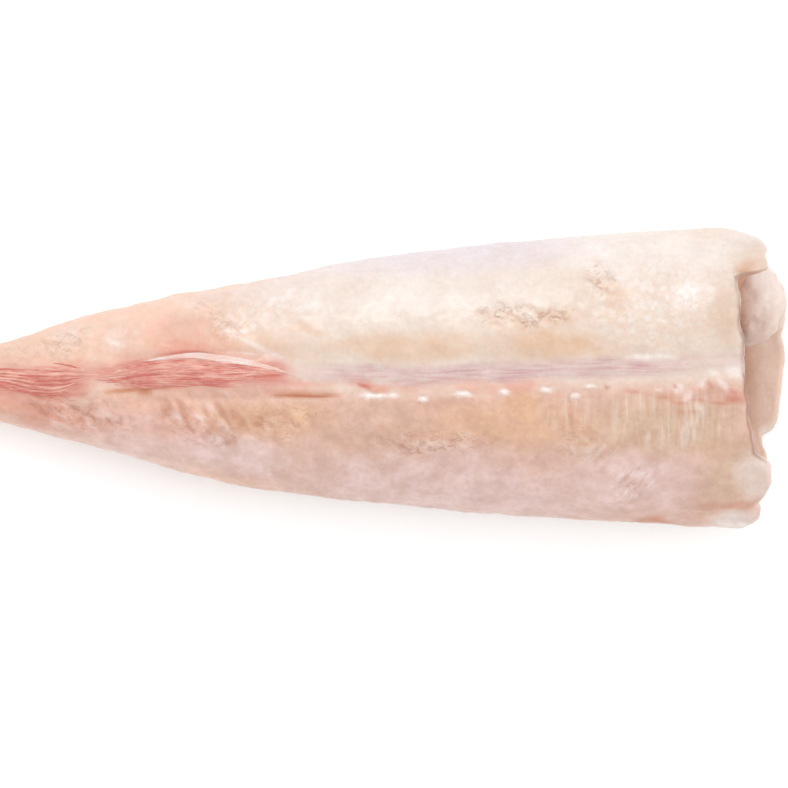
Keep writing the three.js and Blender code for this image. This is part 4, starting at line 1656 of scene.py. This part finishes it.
def tendon_paths(random, spread, steps=80):
    """Routes of the tendon's strands along the spindle's left side: a smooth curve through a few places, with
    lanes beside it that open out in the middle by a half sine."""
    column = (TENDON_STRANDS, 1)
    lane = np.linspace(-1, 1, TENDON_STRANDS)[:, None]
    start = TENDON_ROUTE[0, 0] + random.uniform(0, TENDON_START_JITTER, column)
    end = TENDON_ROUTE[-1, 0] - random.uniform(0, TENDON_END_JITTER, column)
    share = np.linspace(0, 1, steps)
    station = lerp(start, end, share)
    middle = curve(TENDON_ROUTE[:, 0], TENDON_ROUTE[:, 1], station)
    return np.stack([station, middle + spread * lane * np.sin(np.pi * share)], axis=-1)


# Stage


VIEW_CENTRE = (181.5 * MM, -5.25 * MM, 0.0)
WIDEST_LEVEL = 20 * MM
SENSOR = 36.0
CLIP_END = 20.0
FLOOR_HALF = 3.0
KEY_PLACE = (-0.12, 0.72, 0.92)
KEY_SIZE = 0.34
END_PLACE = (0.95, -0.1, 0.5)
END_SIZE = 0.5


def add_floor(colour):
    """A plain, pale, matt floor."""
    corners = FLOOR_HALF * np.array([(-1, -1, 0), (1, -1, 0), (1, 1, 0), (-1, 1, 0)])
    floor = mesh_object("floor", corners, [np.arange(4)[None]])
    material = bpy.data.materials.new("floor_pale")
    material.use_nodes = True
    shader = material.node_tree.nodes["Principled BSDF"]
    shader.inputs["Base Color"].default_value = rgba(colour)
    shader.inputs["Roughness"].default_value = 0.9
    shader.inputs["Specular IOR Level"].default_value = 0.1
    floor.data.materials.append(material)


def add_camera(scene, centre, height, width):
    """A long lens straight above the middle of the view, with +Y up in the picture."""
    data = bpy.data.cameras.new("camera")
    data.sensor_width = SENSOR
    data.lens = SENSOR * (height - WIDEST_LEVEL) / width
    data.clip_end = CLIP_END
    camera = bpy.data.objects.new("camera", data)
    camera.location = (centre[0], centre[1], height)
    scene.collection.objects.link(camera)
    scene.camera = camera


def add_area_light(scene, name, place, size, power):
    """A round soft light that faces the origin."""
    data = bpy.data.lights.new(name, "AREA")
    data.shape = "DISK"
    data.size = size
    data.energy = power
    light = bpy.data.objects.new(name, data)
    light.location = place
    light.rotation_euler = (-light.location).to_track_quat("-Z", "Y").to_euler()
    scene.collection.objects.link(light)


def add_lights(scene, stage):
    """A soft key from the left loin's side, a low light that faces the cut, and a white fill all round."""
    add_area_light(scene, "key", KEY_PLACE, KEY_SIZE, stage.key_power)
    add_area_light(scene, "end_light", END_PLACE, END_SIZE, stage.end_power)
    world = bpy.data.worlds.new("studio")
    world.use_nodes = True
    background = world.node_tree.nodes["Background"]
    background.inputs["Color"].default_value = (1, 1, 1, 1)
    background.inputs["Strength"].default_value = stage.fill
    scene.world = world


# Operators


class MONKFISH_OT_flesh(bpy.types.Operator):
    """Build the flesh of the tail as one ringed surface with colour zones"""

    bl_idname = "monkfish.flesh"
    bl_label = "Flesh"

    def execute(self, context):
        points, zones = tail_surface(context.scene.monkfish_sizes)
        poles = end_means(points)
        poles[:, 0] = -TIP_DOME, FACE_STATION - HOLLOW_DEPTH
        piece = capped_rings("tail_flesh", points, poles)
        add_zones(piece, zones)
        place_on_tail(piece, shared_flesh(context.scene.monkfish_colours))
        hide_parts(NODE)
        return {"FINISHED"}


class MONKFISH_OT_lobe(bpy.types.Operator):
    """Build the rounded lobe on the left flap, beside the rolled corner of the cut"""

    bl_idname = "monkfish.lobe"
    bl_label = "Flap lobe"

    def execute(self, context):
        bearing = np.linspace(-np.pi, np.pi, LOBE_COLUMNS, endpoint=False)
        share = np.linspace(0, LOBE_TOP_SHARE, LOBE_ROWS)
        smooth = lobe_points(*np.broadcast_arrays(share[:, None], bearing[None]))
        lumps, dimples = flesh_unevenness(context.scene.monkfish_sizes, smooth)
        rise = LOBE_LUMPS * lumps + LOBE_DIMPLES * dimples
        points = smooth + grid_normals(smooth) * rise[..., None]
        # Painted shade on the lobe towards the cut's wall.
        shade = LOBE_SHADE * (1 - ramp(points[..., 0], *LOBE_SHADE_SPAN))
        piece = capped_rings("flap_lobe", points, end_means(points))
        add_zones(piece, {"flap": np.ones_like(shade), "lobe": lobe_paleness(points[..., 1]), "gap": shade})
        place_on_tail(piece, shared_flesh(context.scene.monkfish_colours))
        return {"FINISHED"}


class MONKFISH_OT_muscle(bpy.types.Operator):
    """Build the red fin muscle strands: the thin end's bundle and the spindle behind it"""

    bl_idname = "monkfish.muscle"
    bl_label = "Muscle strands"

    def execute(self, context):
        sizes, colours = context.scene.monkfish_sizes, context.scene.monkfish_colours
        random = np.random.default_rng(11)
        spindle_tones = random.uniform(*SPINDLE_TONES, SPINDLE_STRANDS)
        spindle_widths = random.uniform(*SPINDLE_WIDTHS, SPINDLE_STRANDS)
        groups = {
            "bundle_strands": (bundle_paths(random), BUNDLE_STRANDS[:, 3], BUNDLE_STRANDS[:, 4]),
            "spindle_strands": (spindle_paths(random), spindle_widths, spindle_tones),
        }
        material = strand_material("monkfish_muscle", colours.muscle, colours.muscle_pale, 0.4)
        for name, (paths, widths, own) in groups.items():
            tones = strand_tones(own, paths)
            width = sizes.strand_width * widths[:, None]
            piece = strand_object(name, *on_back(sizes, paths), width, sizes.strand_rise, tones, MUSCLE_SINK)
            place_on_tail(piece, material)
        return {"FINISHED"}


class MONKFISH_OT_tendon(bpy.types.Operator):
    """Build the pale tendon beside the spindle muscle, whitest near its head end"""

    bl_idname = "monkfish.tendon"
    bl_label = "Tendon"

    def execute(self, context):
        sizes, colours = context.scene.monkfish_sizes, context.scene.monkfish_colours
        random = np.random.default_rng(17)
        paths = tendon_paths(random, TENDON_SPREAD * sizes.tendon_width)
        tones = strand_tones(random.uniform(*TENDON_TONES, TENDON_STRANDS), paths)
        tones = tones + TENDON_WHITENESS * band(paths[..., 0], *TENDON_WHITE_BAND)
        width = sizes.tendon_width * random.uniform(*TENDON_WIDTHS, (TENDON_STRANDS, 1))
        rise = TENDON_RISE * sizes.tendon_width
        piece = strand_object("tendon", *on_back(sizes, paths), width, rise, tones, TENDON_SINK)
        place_on_tail(piece, strand_material("monkfish_tendon", colours.muscle_pale, colours.cream, 0.3))
        return {"FINISHED"}


class MONKFISH_OT_stage(bpy.types.Operator):
    """Build the floor, the camera straight above and the soft lights"""

    bl_idname = "monkfish.stage"
    bl_label = "Stage"

    def execute(self, context):
        scene, stage = context.scene, context.scene.monkfish_stage
        centre = to_frame(np.array(VIEW_CENTRE))
        add_floor(stage.floor)
        add_camera(scene, centre, stage.camera_height, stage.view_width)
        add_lights(scene, stage)
        scene.view_settings.view_transform = "Standard"
        return {"FINISHED"}


class MONKFISH_PT_panel(bpy.types.Panel):
    """Sidebar panel with a button for each group of pieces and every setting"""

    bl_label = "Monkfish tail"
    bl_idname = "MONKFISH_PT_panel"
    bl_space_type = "VIEW_3D"
    bl_region_type = "UI"
    bl_category = "Monkfish"

    def draw(self, context):
        for operator in OPERATORS:
            self.layout.operator(operator.bl_idname)
        for group in PROPERTY_GROUPS:
            settings = getattr(context.scene, group)
            box = self.layout.box()
            for name in settings.__annotations__:
                box.prop(settings, name)


PROPERTY_GROUPS = {
    "monkfish_sizes": MonkfishSizes,
    "monkfish_colours": MonkfishColours,
    "monkfish_stage": MonkfishStage,
}
OPERATORS = (
    MONKFISH_OT_flesh,
    MONKFISH_OT_lobe,
    MONKFISH_OT_muscle,
    MONKFISH_OT_tendon,
    MONKFISH_OT_stage,
)
CLASSES = (*PROPERTY_GROUPS.values(), *OPERATORS, MONKFISH_PT_panel)


def register():
    for made in CLASSES:
        bpy.utils.register_class(made)
    for name, group in PROPERTY_GROUPS.items():
        setattr(bpy.types.Scene, name, bpy.props.PointerProperty(type=group))


def unregister():
    for name in PROPERTY_GROUPS:
        delattr(bpy.types.Scene, name)
    for made in reversed(CLASSES):
        bpy.utils.unregister_class(made)


def main():
    register()
    bpy.ops.monkfish.flesh()
    bpy.ops.monkfish.lobe()
    bpy.ops.monkfish.muscle()
    bpy.ops.monkfish.tendon()
    bpy.ops.monkfish.stage()


if __name__ == "__main__":
    main()
